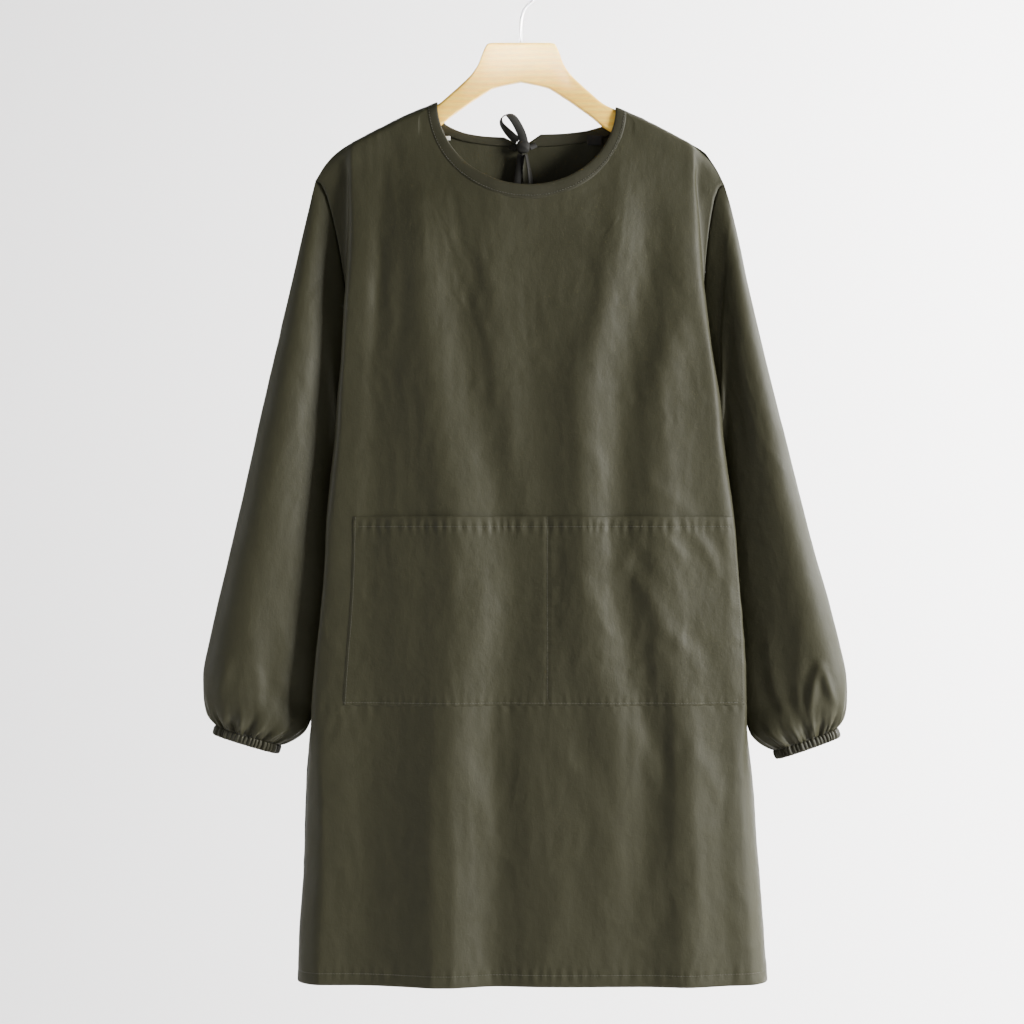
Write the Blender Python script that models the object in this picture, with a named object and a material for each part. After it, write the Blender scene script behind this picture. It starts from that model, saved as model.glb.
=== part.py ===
"""Painter smock hanging on a wooden hanger, as closed solids.

X runs to the viewer's right, Y runs into the view and Z runs up.  The origin is the inside top of the hanger's hook,
where a rail carries it.  The sizes below are in millimetres, and each mesh is scaled to metres when it is made.
"""
from math import cos, pi, radians, sin

import bpy
import numpy as np

MM = 0.001

# Cloth
WALL = 1.3              # cloth wall
SEAM = 0.3              # gap between neighbouring pieces
LEFT, RIGHT = -1, 1     # the viewer's sides
FRONT, BACK = -1, 1     # towards the viewer, away from the viewer

# Heights of the garment
SHOULDER_Z = -190.0     # where the side folds leave the shoulder line
UNDERARM_Z = -455.0
POCKET_TOP_Z = -586.0
POCKET_LOW_Z = -787.0
HEM_Z = -1085.0

# Shoulders and neck
ROLL = 8.8              # radius of the cloth where it rolls over the hanger
ROLL_STEP = 2.55        # drop of the first row over that roll
NECK_X = {LEFT: -90.7, RIGHT: 102.7}
NECK_DROP = 89.0        # front neckline below the shoulder line
BINDING = 10.0          # width of the neck binding
SLIT_X = {LEFT: -17.3, RIGHT: 20.5}     # corners of the back neck slit, at the neckline
SLIT_Z = {LEFT: -175.0, RIGHT: -172.0}
SLIT_PULL = 5.0         # half width of the slit below the binding, drawn in by the ties
SLIT_END_Z = -360.0
SLIT_GAP = 1.2
CENTRE_BACK_TOP_X, CENTRE_BACK_HEM_X = 1.5, 12.0

# Columns and rows of the panels
SHOULDER_COLUMNS = 6
NECK_TURNS = (0.0, 0.0082, 0.0284, 0.09, 0.172, 0.254, 0.336, 0.418)    # shares of the half neckline, mirrored
BACK_NECK_TURNS = (0.0, 0.0081, 0.0545, 0.25, 0.5, 0.75, 1.0)
NECK_FAN = 0.6          # how far the columns lean outwards where they leave the neckline
TUCK_COLUMNS = 4
ARMHOLE_ROWS = 14
LOWER_ROWS = (-500, -543, POCKET_TOP_Z, -636, -686, -737, POCKET_LOW_Z, -850, -925, -1005, HEM_Z)
POCKET_EDGE = 0.049     # first column of the pocket, as a share of the front's width

# Armholes: top and underarm points, and how far the seam bows towards the body and to front and back
ARMHOLE_TOP = {LEFT: (-222.0, -223.0), RIGHT: (219.5, -227.0)}
UNDERARM_X = {LEFT: -189.0, RIGHT: 207.0}
ARMHOLE_BOW = {FRONT: 16.0, BACK: 8.0}
ARMHOLE_DEPTH = {FRONT: 9.0, BACK: 6.0}


class Table:
    """A short table with named columns, read smoothly along its first column."""

    def __init__(self, names, *rows):
        self.names = names.split()
        self.columns = np.array(sorted(rows), float).T

    def read(self, name, place):
        places = self.columns[0]
        values = self.columns[self.names.index(name)]
        steps = np.diff(values) / np.diff(places)
        slopes = np.zeros(len(values))
        product = steps[1:] * steps[:-1]
        total = steps[1:] + steps[:-1]
        same_way = product > 0
        slopes[1:-1][same_way] = 2 * product[same_way] / total[same_way]
        slopes[0], slopes[-1] = steps[0], steps[-1]
        place = np.clip(place, places[0], places[-1])
        i = np.clip(np.searchsorted(places, place) - 1, 0, len(steps) - 1)
        width = places[i + 1] - places[i]
        t = (place - places[i]) / width
        bend = slopes[i] + slopes[i + 1] - 2 * steps[i]
        turn = 3 * steps[i] - 2 * slopes[i] - slopes[i + 1]
        return values[i] + width * t * (slopes[i] + t * (turn + t * bend))


# The shoulder line of the cloth, on both sides of the hook
ROOF = Table(
    "x z",
    (0, -106), (50, -117), (91, -138.5), (126, -153.5), (165, -173), (188, -186), (200, -195), (210, -206),
    (222, -225))

# Body: left and right are the outermost points of the side folds, seam is how far inside them the side seam lies,
# and front, front_side, back and back_side are the depths at the middle and at the folds.
BODY = Table(
    "z left right seam front front_side back back_side corner",
    (-190, -184, 201, 0, 24, 20, 17, 16, 2),
    (-245, -184, 201, 0, 25, 21, 17, 16, 5),
    (-309, -188, 202, 8, 27, 22, 17, 16, 6),
    (-352, -192, 205, 6, 28, 23, 17, 16, 6),
    (-406, -195, 209, 7, 29, 24, 18, 17, 6),
    (-455, -198, 214, 8, 31, 25, 18, 17, 7),
    (-514, -202, 220, 10, 33, 26, 19, 17, 8),
    (-568, -208, 227, 12, 35, 27, 20, 17, 9),
    (-633, -211, 233, 12, 37, 28, 21, 18, 10),
    (-690, -216, 238, 11, 39, 29, 22, 18, 12),
    (-750, -223, 241, 8, 41, 30, 23, 19, 14),
    (-827, -230, 247, 1, 43, 31, 24, 20, 17),
    (-892, -232, 251, 0, 44, 32, 25, 20, 22),
    (-978, -236, 258, 0, 46, 33, 26, 20, 26),
    (-1085, -241, 266, 0, 48, 34, 27, 20, 28))

# How a panel turns from a side fold to its side edge: share of the fold's corner taken, where the fold stands over
# the sleeve and where it is plainly round, share of the way to the edge, and share of the depth given back.
TUCK = Table(
    "along corner round home back",
    (0.0, 0.0, 0.0, 0.0, 0.0),
    (0.25, 0.8, 0.38, 0.0, 0.09),
    (0.5, 1.0, 0.71, 0.06, 0.32),
    (0.75, 1.0, 0.92, 0.55, 0.62),
    (1.0, 1.0, 1.0, 1.0, 1.0))

# Soft vertical folds: where each crest runs, its half width and its height, top and low.
# A negative height is a trough.
FOLD_COLUMNS = "z x width height"
FRONT_FOLDS = tuple(
    Table(FOLD_COLUMNS, (SHOULDER_Z, *top), (UNDERARM_Z, *middle), (HEM_Z, *low))
    for top, middle, low in (
        ((-150, 14, -2.0), (-152, 20, -3.0), (-172, 36, -7.0)),
        ((-112, 18, 2.5), (-108, 24, 4.0), (-86, 42, 10.0)),
        ((-52, 22, -1.5), (-42, 26, -3.0), (-18, 36, -6.0)),
        ((8, 26, 1.0), (14, 26, 3.0), (42, 34, 5.0)),
        ((66, 22, -1.5), (72, 26, -3.0), (98, 30, -5.0)),
        ((112, 24, 1.5), (122, 28, 4.0), (158, 34, 8.0)),
        ((162, 16, -2.0), (172, 20, -3.0), (212, 24, -5.0))))
BACK_FOLDS = tuple(
    Table(FOLD_COLUMNS, (SHOULDER_Z, *top), (UNDERARM_Z, *middle), (HEM_Z, *low))
    for top, middle, low in (
        ((-120, 18, 1.5), (-126, 22, 3.0), (-150, 36, 6.0)),
        ((-70, 20, -1.0), (-72, 24, -2.0), (-84, 32, -5.0)),
        ((60, 22, 1.0), (64, 26, 3.0), (84, 36, 6.0)),
        ((122, 20, -1.0), (130, 24, -2.0), (160, 30, -5.0))))
FOLD_SPREAD = 150.0     # drop below the shoulder line over which the cloth comes to its full depth

# Sleeve, measured from the hook's axis outwards: its outer and inner edges, and the half depths to front and back.
# The first row is the armhole and the last is the cuff seam; bow is the share of the armhole's bow that is left.
# swing and swing_in are how much further out the right sleeve's two edges hang, and sag how much lower.
SLEEVE = Table(
    "place outer outer_z inner inner_z front back bow gather swing swing_in sag",
    (0.0, 222, -223, 189, -455, 9, 6, 1.0, 0, -2.5, 18, 0),
    (0.5, 227, -246, 195, -463, 11, 8, 0.6, 0, -2, 18, 0),
    (1.5, 237, -288, 199, -480, 15, 10, 0.25, 0, -2, 18, 0),
    (3.0, 251, -350, 203, -514, 19, 12, 0.05, 0, -3, 18, 0),
    (4.0, 266, -412, 205, -556, 22, 14, 0, 0, -3, 18, 0),
    (5.0, 283, -487, 206, -610, 25, 16, 0, 0, -1, 20, 0),
    (6.0, 299, -559, 209, -664, 27, 17, 0, 0, 1, 21, 0),
    (7.0, 315, -628, 216, -716, 28, 18, 0, 0.2, 3, 21, 0),
    (8.0, 329, -687, 220, -753, 29, 19, 0, 0.7, 6, 20, 0),
    (9.0, 338, -730, 226, -779, 29, 20, 0, 1.3, 8, 18, 1),
    (10.0, 343, -763, 232, -799, 28, 20, 0, 2.0, 9, 17, 2),
    (11.0, 341, -786, 240, -815, 25, 19, 0, 2.6, 10, 16, 4),
    (12.0, 335, -802, 252, -826, 21, 18, 0, 2.6, 11, 14, 5),
    (13.0, 329, -811, 260, -832, 17, 16, 0, 1.6, 12, 13, 6))
COARSE_RINGS = (0.5, 1.5, 2.6, 3.7, 4.8, 5.9, 7.0, 8.0)
FINE_RINGS = (8.9, 9.8, 10.6, 11.3, 12.0, 12.6, 13.0)
SLEEVE_SPLIT = 7.0      # place where the upper and the lower length of a sleeve meet
SLEEVE_COLUMNS = 2 * ARMHOLE_ROWS
GATHER_COLUMNS = 2 * SLEEVE_COLUMNS
CUFF_HEIGHT = 10.0
CUFF_WAVE = 0.9
SLEEVE_FOLDS = (        # angle round the sleeve in degrees, half width in degrees, height
    (48, 20, 2.2), (84, 18, -1.8), (118, 20, 2.0), (232, 22, 1.6), (290, 24, -1.4))

# Hanger, along X on both sides of the hook
HANGER = Table(
    "x top low half_depth",
    (0, -74.5, -116.6, 6), (30, -74.5, -123.5, 6), (36, -75.5, -127, 6), (40, -82, -129.5, 6), (46, -97.5, -133.5, 6),
    (53, -108, -138, 6), (62, -117, -144.5, 6), (76, -129.5, -154.5, 6), (90, -141, -166, 6), (110, -150, -177, 6),
    (140, -164, -190, 6), (162, -175, -200, 6), (178, -184.5, -207, 5.5), (186, -191.5, -209, 4), (191, -198, -206, 3))
HANGER_STATIONS = (0, 12, 24, 32, 36, 39, 42, 46, 51, 58, 66, 76, 86, 96, 110, 126, 142, 156, 168, 179, 187, 191)
HANGER_ROUND = 5.0      # rounding of the hanger's upper edges
HANGER_BEVEL = 2.2      # bevel of its lower edges

# Hook wire
WIRE_RADIUS = 1.6
HOOK_RADIUS = 18.0      # to the middle of the wire
HOOK_SIDES = 8
HOOK_FOOT_Z = -74.5 + SEAM
HOOK_SHANK = ((0.0, HOOK_FOOT_Z), (0.0, -62.0), (0.1, -51.0), (2.6, -40.0), (7.4, -33.6))
HOOK_FIRST_ANGLE, HOOK_LAST_ANGLE, HOOK_STEPS = -44.0, 205.0, 16

# Ties: each tape's route as points (x, y, z) and the direction its width lies in, (x, y, z)
TAPE_WIDTH = 9.5
TAPE_THICKNESS = 1.2
KNOT_CENTRE = (2.2, 5.5, -187.5)
KNOT_HALF = (6.6, 3.6, 5.6)
TIE_ROUTES = {
    "tie_strap_left": (
        ((-12.0, 9.4, -184.6), (-8.6, 8.0, -186.2), (-5.2, 6.4, -187.2)),
        ((0.25, 0, 1), (0.25, 0, 1), (0.15, 0, 1)), 0.6),
    "tie_strap_right": (
        ((16.5, 9.4, -183.0), (13.0, 8.0, -185.0), (9.6, 6.4, -186.6)),
        ((-0.3, 0, 1), (-0.3, 0, 1), (-0.2, 0, 1)), 0.6),
    "tie_loop": (
        ((3.2, 3.6, -181.2), (1.0, 2.4, -173.0), (-4.0, 1.4, -162.5), (-9.5, 1.2, -154.8), (-15.5, 2.6, -151.6),
         (-20.8, 3.6, -155.0), (-21.0, 4.0, -161.0), (-15.5, 4.2, -168.4), (-9.0, 4.4, -175.0), (-3.4, 5.0, -180.0)),
        ((1, 0, 0.3), (0.9, 0.3, 0.4), (0.7, 0.7, 0.4), (0.4, 0.9, 0.2), (0.1, 1, 0.1),
         (-0.1, 1, 0.1), (-0.2, 1, 0), (-0.3, 1, -0.2), (-0.4, 1, -0.3), (-0.3, 1, -0.3)), 0.8),
    "tie_tail_left": (
        ((0.4, 5.8, -193.8), (-0.8, 7.0, -201.0), (-2.6, 7.8, -212.0), (-4.4, 8.0, -226.0), (-7.0, 8.2, -244.0),
         (-8.6, 8.6, -264.0), (-8.0, 9.0, -284.0), (-9.6, 9.2, -302.0)),
        ((1, 0, 0), (1, 0, -0.1), (1, 0, -0.1), (1, 0.1, -0.1), (1, 0.2, -0.1), (1, 0.1, 0), (1, 0, 0),
         (1, 0, 0)), 0.85),
    "tie_tail_right": (
        ((5.4, 5.8, -193.6), (7.0, 6.6, -201.0), (9.0, 7.0, -212.0), (10.6, 7.2, -226.0), (11.6, 7.8, -246.0),
         (14.2, 8.2, -268.0), (16.0, 8.8, -292.0), (15.0, 9.2, -316.0)),
        ((0.4, 1, 0), (0.4, 1, 0), (0.5, 1, 0), (0.8, 0.9, 0), (1, 0.6, 0), (1, 0.3, 0), (1, 0.1, 0),
         (1, 0, 0)), 0.85)}
TAPE_STEPS = 2          # pieces between two points of a route

# Labels inside the back neck, laid on the back panels: side, middle x and z, half width and half height
LABELS = {"neck_label": (RIGHT, 80.0, -178.0, 8.0, 5.5), "size_tag": (LEFT, -82.0, -176.0, 5.5, 2.2)}
LABEL_WALL = 0.8

MATERIALS = {           # base colour, roughness, metallic
    "olive_cloth": ((0.062, 0.058, 0.040, 1), 0.75, 0.0),
    "tie_tape": ((0.030, 0.028, 0.020, 1), 0.8, 0.0),
    "woven_label": ((0.020, 0.020, 0.018, 1), 0.85, 0.0),
    "light_tag": ((0.62, 0.62, 0.58, 1), 0.8, 0.0),
    "beech": ((0.86, 0.66, 0.42, 1), 0.45, 0.0),
    "white_wire": ((0.80, 0.80, 0.78, 1), 0.35, 0.2)}


# ---- Meshes --------------------------------------------------------------------------------------

def clear_scene():
    for thing in list(bpy.data.objects):
        bpy.data.objects.remove(thing)


def make_material(name):
    colour, roughness, metallic = MATERIALS[name]
    material = bpy.data.materials.new(name)
    material.use_nodes = True
    shader = material.node_tree.nodes["Principled BSDF"]
    shader.inputs["Base Color"].default_value = colour
    shader.inputs["Roughness"].default_value = roughness
    shader.inputs["Metallic"].default_value = metallic
    return material


def signed_volume(points, faces):
    total = 0.0
    for face in faces:
        for second, third in zip(face[1:], face[2:]):
            total += np.dot(points[face[0]], np.cross(points[second], points[third]))
    return total / 6


def make_solid(name, points, faces, material):
    """One closed mesh object, its faces turned outwards."""
    points = np.asarray(points, float)
    if signed_volume(points - points.mean(axis=0), faces) < 0:
        faces = [tuple(reversed(face)) for face in faces]
    mesh = bpy.data.meshes.new(name)
    mesh.from_pydata((points * MM).tolist(), [], [tuple(int(i) for i in face) for face in faces])
    mesh.materials.append(material)
    thing = bpy.data.objects.new(name, mesh)
    bpy.context.scene.collection.objects.link(thing)
    return thing


def unit(vectors):
    vectors = np.asarray(vectors, float)
    return vectors / np.maximum(np.linalg.norm(vectors, axis=-1, keepdims=True), 1e-12)


def grid_normals(grid, facing):
    """Unit normals of a grid of points, turned to the side that the facing vectors name."""
    down, across = np.gradient(grid, axis=(0, 1))
    normals = unit(np.cross(down, across))
    turn = np.sign(np.sum(normals * facing, axis=-1, keepdims=True))
    return normals * np.where(turn == 0, 1, turn)


def sheet_solid(name, outer, inner, material):
    """A wall between two grids of points of the same size, both cut into the same triangles."""
    rows, columns = outer.shape[:2]
    count = rows * columns
    index = np.arange(count).reshape(rows, columns)
    faces = []
    for i in range(rows - 1):
        for j in range(columns - 1):
            a, b, c, d = index[i, j], index[i, j + 1], index[i + 1, j + 1], index[i + 1, j]
            faces += [(a, b, c), (a, c, d)]
            faces += [(a + count, c + count, b + count), (a + count, d + count, c + count)]
    rim = [*index[0, :-1], *index[:-1, -1], *index[-1, :0:-1], *index[:0:-1, 0]]
    for a, b in zip(rim, rim[1:] + rim[:1]):
        faces.append((b, a, a + count, b + count))
    points = np.concatenate([outer.reshape(-1, 3), inner.reshape(-1, 3)])
    return make_solid(name, points, faces, material)


def ring_faces(first, second):
    """Faces between two closed rings of point numbers; the second has as many points as the first, or twice."""
    faces = []
    n = len(first)
    if len(second) == n:
        for k in range(n):
            a, b, c, d = first[k], first[(k + 1) % n], second[(k + 1) % n], second[k]
            faces += [(a, b, c), (a, c, d)]
        return faces
    for k in range(n):
        a, b = first[k], first[(k + 1) % n]
        p, q, r = second[2 * k], second[2 * k + 1], second[(2 * k + 2) % (2 * n)]
        faces += [(a, q, p), (a, b, q), (b, r, q)]
    return faces


def tube_solid(name, outer_rings, inner_rings, material):
    """An open tube: a wall between outer and inner rings, closed over at both ends."""
    points, numbers = [], []
    for rings in (outer_rings, inner_rings):
        numbered = []
        for ring in rings:
            numbered.append(list(range(len(points), len(points) + len(ring))))
            points.extend(ring)
        numbers.append(numbered)
    outer, inner = numbers
    faces = []
    for a, b in zip(outer, outer[1:]):
        faces += ring_faces(a, b)
    for a, b in zip(inner, inner[1:]):
        faces += [tuple(reversed(face)) for face in ring_faces(a, b)]
    faces += ring_faces(inner[0], outer[0])
    faces += ring_faces(outer[-1], inner[-1])
    return make_solid(name, points, faces, material)


def rod_solid(name, rings, material):
    """A filled solid through rings of points, with flat ends."""
    points, numbers = [], []
    for ring in rings:
        numbers.append(list(range(len(points), len(points) + len(ring))))
        points.extend(ring)
    faces = []
    for a, b in zip(numbers, numbers[1:]):
        faces += ring_faces(a, b)
    faces.append(tuple(reversed(numbers[0])))
    faces.append(tuple(numbers[-1]))
    return make_solid(name, points, faces, material)


# ---- The garment's form --------------------------------------------------------------------------

def ease(t):
    t = np.clip(t, 0, 1)
    return t * t * (3 - 2 * t)


def mix(a, b, t):
    return a + (b - a) * t


def roof(x):
    """Height of the shoulder line."""
    return ROOF.read("z", np.abs(x))


def fold_relief(folds, x, z):
    return sum(fold.read("height", z) * np.exp(-((x - fold.read("x", z)) / fold.read("width", z)) ** 2)
               for fold in folds)


def depth(face, x, z):
    """Y of the cloth's outer face in front (FRONT) or behind (BACK)."""
    name = "front" if face == FRONT else "back"
    left, right = BODY.read("left", z), BODY.read("right", z)
    share = np.clip(np.abs(x - (left + right) / 2) / ((right - left) / 2), 0, 1)
    full = mix(BODY.read(name, z), BODY.read(name + "_side", z), share ** 2.4)
    full = full + fold_relief(FRONT_FOLDS if face == FRONT else BACK_FOLDS, x, z)
    drop = np.maximum(roof(x) - z, 0)
    roll = ROLL * np.sqrt(1 - (1 - np.minimum(drop, ROLL) / ROLL) ** 2)
    return face * (roll + (full - ROLL) * ease((drop - ROLL) / FOLD_SPREAD) + SEAM / 2)


def armhole(side, angle):
    """Point of the armhole seam; angle 0 is its top, 90 degrees its front and 180 degrees the underarm."""
    top = ARMHOLE_TOP[side]
    half_x = (top[0] - UNDERARM_X[side]) / 2
    half_z = (top[1] - UNDERARM_Z) / 2
    face = FRONT if sin(angle) >= 0 else BACK
    return np.array((
        UNDERARM_X[side] + half_x * (1 + cos(angle)) - side * bow(angle),
        face * ARMHOLE_DEPTH[face] * abs(sin(angle)) ** 0.8,
        UNDERARM_Z + half_z * (1 + cos(angle))))


def bow(angle):
    """How far the armhole seam bows towards the body."""
    face = FRONT if sin(angle) >= 0 else BACK
    return ARMHOLE_BOW[face] * abs(sin(angle)) ** (0.8 + 3.7 * ease(-2.5 * cos(angle)))


def armhole_outward(side, angle):
    """Direction from the inside to the outside of the cloth, shared by both pieces of the armhole seam."""
    height = cos(angle)
    return unit((side * (0.7 + 0.2 * height), -0.5 * sin(angle), height * (0.75 - 0.25 * height)))


def column_shares():
    """Places of the main columns across the front, from 0 at the left fold to 1 at the right fold."""
    count = 2 * (SHOULDER_COLUMNS + len(NECK_TURNS) - 1) + 1
    return [0.0] + [mix(POCKET_EDGE, 1.0, j / (count - 1)) for j in range(count)]


SHARES = column_shares()


def main_edge(side, z, face=FRONT):
    """X where the flat part of a face meets the rounding of its side fold; the back's folds lie a little inside."""
    name = "left" if side == LEFT else "right"
    inside = 0 if face == FRONT else 2 * ease((z + 900) / 60)
    return BODY.read(name, z) - side * (BODY.read("corner", z) + inside)


def shoulder_points(side):
    """Points on the shoulder line from the side fold to the binding."""
    start = main_edge(side, SHOULDER_Z)
    end = NECK_X[side] + side * BINDING
    if side == LEFT:
        shares = [SHARES[j] / SHARES[SHOULDER_COLUMNS] for j in range(SHOULDER_COLUMNS + 1)]
    else:
        last = len(SHARES) - 1
        whole = 1 - SHARES[last - SHOULDER_COLUMNS]
        shares = [(1 - SHARES[last - j]) / whole for j in range(SHOULDER_COLUMNS + 1)]
    tops = []
    for j, share in enumerate(shares):
        x = mix(start, end, share)
        lean = side * NECK_FAN * (j / SHOULDER_COLUMNS) ** 4
        tops.append((x, float(roof(x)), lean))
    return tops


def front_neck(turn, outward):
    """Point (x, z) of the front neckline, turn 0 at the left shoulder to 1 at the right, outward from its edge."""
    left, right = NECK_X[LEFT] - outward, NECK_X[RIGHT] + outward
    middle, half = (left + right) / 2, (right - left) / 2
    angle = pi * turn
    level = mix(float(roof(left)), float(roof(right)), turn)
    return middle - half * cos(angle), level - (NECK_DROP + outward) * sin(angle)


def back_neck(side, turn, outward):
    """Point (x, z) of the back neckline, turn 0 at the shoulder to 1 at the slit."""
    share = outward / BINDING
    start = NECK_X[side] + side * outward
    end = mix(SLIT_X[side], CENTRE_BACK_TOP_X + side * SLIT_PULL, share)
    level = float(roof(start))
    drop = level - mix(SLIT_Z[side], (SLIT_Z[LEFT] + SLIT_Z[RIGHT]) / 2 - 11, share)
    angle = pi / 2 * turn
    return end + (start - end) * cos(angle), level - drop * sin(angle) ** 0.65


def centre_back(z):
    """X of the centre back line."""
    return mix(CENTRE_BACK_TOP_X, CENTRE_BACK_HEM_X, np.clip((z - SHOULDER_Z) / (HEM_Z - SHOULDER_Z), 0, 1))


def neck_turns():
    """Turns of the front neckline's columns, from shoulder to shoulder."""
    half = list(NECK_TURNS)
    return [*half, 0.5, *(1 - turn for turn in reversed(half))]


def column(top_x, top_z, lean, level_x, hurry=False):
    """X and z of one main column, from the top edge to the hem; lean turns its first rows outwards."""
    down = (1 - lean ** 2) ** 0.5
    near = 1 + 0.9 * np.exp(-(roof(top_x) - top_z) / 10) * abs(lean) / NECK_FAN
    first, rolled = ROLL_STEP * near, ROLL * near
    rolled_z = top_z - rolled * down
    below = [mix(rolled_z, UNDERARM_Z, (i - 2) / (ARMHOLE_ROWS - 2)) for i in range(3, ARMHOLE_ROWS + 1)]
    z = np.array([top_z, top_z - first * down, rolled_z, *below, *LOWER_ROWS])
    rows = np.arange(ROWS)
    start_x = top_x + lean * np.array([0, first, *[rolled] * (ROWS - 2)])
    blend = ease(rows / 2) if hurry else ease((rows - 2) / (ARMHOLE_ROWS - 2))
    return mix(start_x, level_x(z), blend), z


ROWS = ARMHOLE_ROWS + 1 + len(LOWER_ROWS)


def front_columns():
    """Main columns of the front: grids of x, z."""
    tops = shoulder_points(LEFT)
    for turn in neck_turns()[1:-1]:
        tops.append((*front_neck(turn, BINDING), -NECK_FAN * cos(pi * turn)))
    tops += reversed(shoulder_points(RIGHT))
    columns = []
    for (x, z, lean), share in zip(tops, SHARES):
        columns.append(column(x, z, lean, lambda z: mix(main_edge(LEFT, z), main_edge(RIGHT, z), share)))
    return np.array(columns).transpose(2, 0, 1)


def back_columns(side):
    """Main columns of one back panel, from its side fold to the centre back: grids of x, z."""
    tops = shoulder_points(side)
    shoulder_share = 2 * SHARES[SHOULDER_COLUMNS]
    shares = [shoulder_share * j / SHOULDER_COLUMNS for j in range(SHOULDER_COLUMNS + 1)]
    last = len(BACK_NECK_TURNS) - 1
    for k in range(1, last + 1):
        turn = BACK_NECK_TURNS[k]
        tops.append((*back_neck(side, turn, BINDING), side * NECK_FAN * cos(pi / 2 * turn)))
        shares.append(mix(shoulder_share, 1, k / last))

    def level(share, z):
        gap = np.where(z > SLIT_END_Z, SLIT_GAP, SEAM) / 2
        return mix(main_edge(side, z, BACK), centre_back(z) + side * gap, share)

    columns = []
    for (x, z, lean), share in zip(tops, shares):
        columns.append(column(x, z, lean, lambda z: level(share, z), hurry=share == 1))
    return np.array(columns).transpose(2, 0, 1)


def tuck(side, face, edge_column):
    """Columns that turn from the side fold back to the armhole and the side seam, the fold's column left out."""
    name = "left" if side == LEFT else "right"
    columns = np.zeros((ROWS, TUCK_COLUMNS, 3))
    for i in range(ROWS):
        start = edge_column[i]
        z = start[2]
        fold_x = start[0] + side * BODY.read("corner", z)
        if i <= ARMHOLE_ROWS:
            end = armhole(side, -face * pi * i / ARMHOLE_ROWS)
            towards = unit((-side, face * 0.5, 0)) if i < ARMHOLE_ROWS else np.array((-side, 0, 0))
            end = end + towards * SEAM * 1.4
        else:
            end = np.array((BODY.read(name, z) - side * BODY.read("seam", z), 0.0, z))
        if i == 0 or i >= ARMHOLE_ROWS:
            end[1] = face * SEAM / 2
        nest = ease((i - 1) / 5)
        hollow = ease((z + 860) / 120)
        for k in range(1, TUCK_COLUMNS + 1):
            t = k / TUCK_COLUMNS
            corner = mix(TUCK.read("round", t), TUCK.read("corner", t), hollow)
            point = np.array((
                mix(start[0], fold_x, corner) + TUCK.read("home", t) * (end[0] - fold_x),
                mix(start[1], end[1], TUCK.read("back", t)), z))
            point = mix(mix(start, end, t), point, nest)
            sag = roof(point[0]) - mix(roof(start[0]), roof(end[0]), t)
            point[2] = mix(start[2], end[2], t) + sag * (1 - ease(i / 6))
            columns[i, k - 1] = point
    return columns


def side_normals(side, face, normals, first=0):
    """Directions at a panel's side edge, shared with the sleeve above the underarm and level below it."""
    for i in range(ROWS):
        if i <= ARMHOLE_ROWS:
            normals[i, first] = armhole_outward(side, -face * pi * i / ARMHOLE_ROWS)
        else:
            normals[i, first] = (side, 0, 0)


def roof_normals(grid, normals, columns):
    """Directions along the shoulder seam, square to the shoulder line and level with the seam."""
    for j in columns:
        before, after = grid[0, j] + (-2, 0, 0), grid[0, j] + (2, 0, 0)
        slope = (roof(after[0]) - roof(before[0])) / 4
        normals[0, j] = unit((-slope, 0, 1))


def front_form():
    """Outer grid of the front, its normals and the inner grid."""
    x, z = front_columns()[..., 0], front_columns()[..., 1]
    main = np.stack([x, depth(FRONT, x, z), z], axis=-1)
    left = tuck(LEFT, FRONT, main[:, 0])[:, ::-1]
    right = tuck(RIGHT, FRONT, main[:, -1])
    grid = np.concatenate([left, main, right], axis=1)
    facing = np.zeros_like(grid)
    facing[..., 1] = FRONT
    facing[:, :TUCK_COLUMNS] = (-1, -0.6, 0)
    facing[:, -TUCK_COLUMNS:] = (1, -0.6, 0)
    normals = grid_normals(grid, facing)
    columns = grid.shape[1]
    neck_start = TUCK_COLUMNS + SHOULDER_COLUMNS
    roof_normals(grid, normals, [*range(neck_start + 1), *range(columns - 1 - neck_start, columns)])
    side_normals(LEFT, FRONT, normals, 0)
    side_normals(RIGHT, FRONT, normals, columns - 1)
    return grid, normals


def back_form(side):
    """Outer grid of one back panel, from its side edge to the centre back, and its normals."""
    levels = back_columns(side)
    x, z = levels[..., 0], levels[..., 1]
    main = np.stack([x, depth(BACK, x, z), z], axis=-1)
    grid = np.concatenate([tuck(side, BACK, main[:, 0])[:, ::-1], main], axis=1)
    facing = np.zeros_like(grid)
    facing[..., 1] = BACK
    facing[:, :TUCK_COLUMNS] = (side, 0.6, 0)
    normals = grid_normals(grid, facing)
    roof_normals(grid, normals, range(TUCK_COLUMNS + SHOULDER_COLUMNS + 1))
    side_normals(side, BACK, normals, 0)
    normals[:, -1, 0] = 0
    normals[:, -1] = unit(normals[:, -1])
    return grid, normals


def sleeve_edges(side, place):
    """Outer and inner edge of the sleeve's ring at one place along it, and that place's other values."""
    read = {name: float(SLEEVE.read(name, place)) for name in SLEEVE.names[1:]}
    if side == RIGHT:
        read["outer"] += read["swing"]
        read["inner"] += read["swing_in"]
        read["outer_z"] -= read["sag"] / 2
        read["inner_z"] -= read["sag"]
    outer = np.array((side * read["outer"], 0, read["outer_z"]))
    inner = np.array((side * read["inner"], 0, read["inner_z"]))
    return outer, inner, read


def sleeve_ring(side, place, count):
    """Points of one ring of the sleeve, from its outer edge by the front to its inner edge and back."""
    outer, inner, read = sleeve_edges(side, place)
    ring = np.zeros((count, 3))
    for k in range(count):
        angle = 2 * pi * k / count
        ring[k] = mix(outer, inner, (1 - cos(angle)) / 2)
        ring[k, 0] -= side * bow(angle) * read["bow"]
        half_depth = read["front"] if sin(angle) >= 0 else read["back"]
        ring[k, 1] = (FRONT if sin(angle) >= 0 else BACK) * half_depth * abs(sin(angle)) ** 0.8
    return ring


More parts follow.
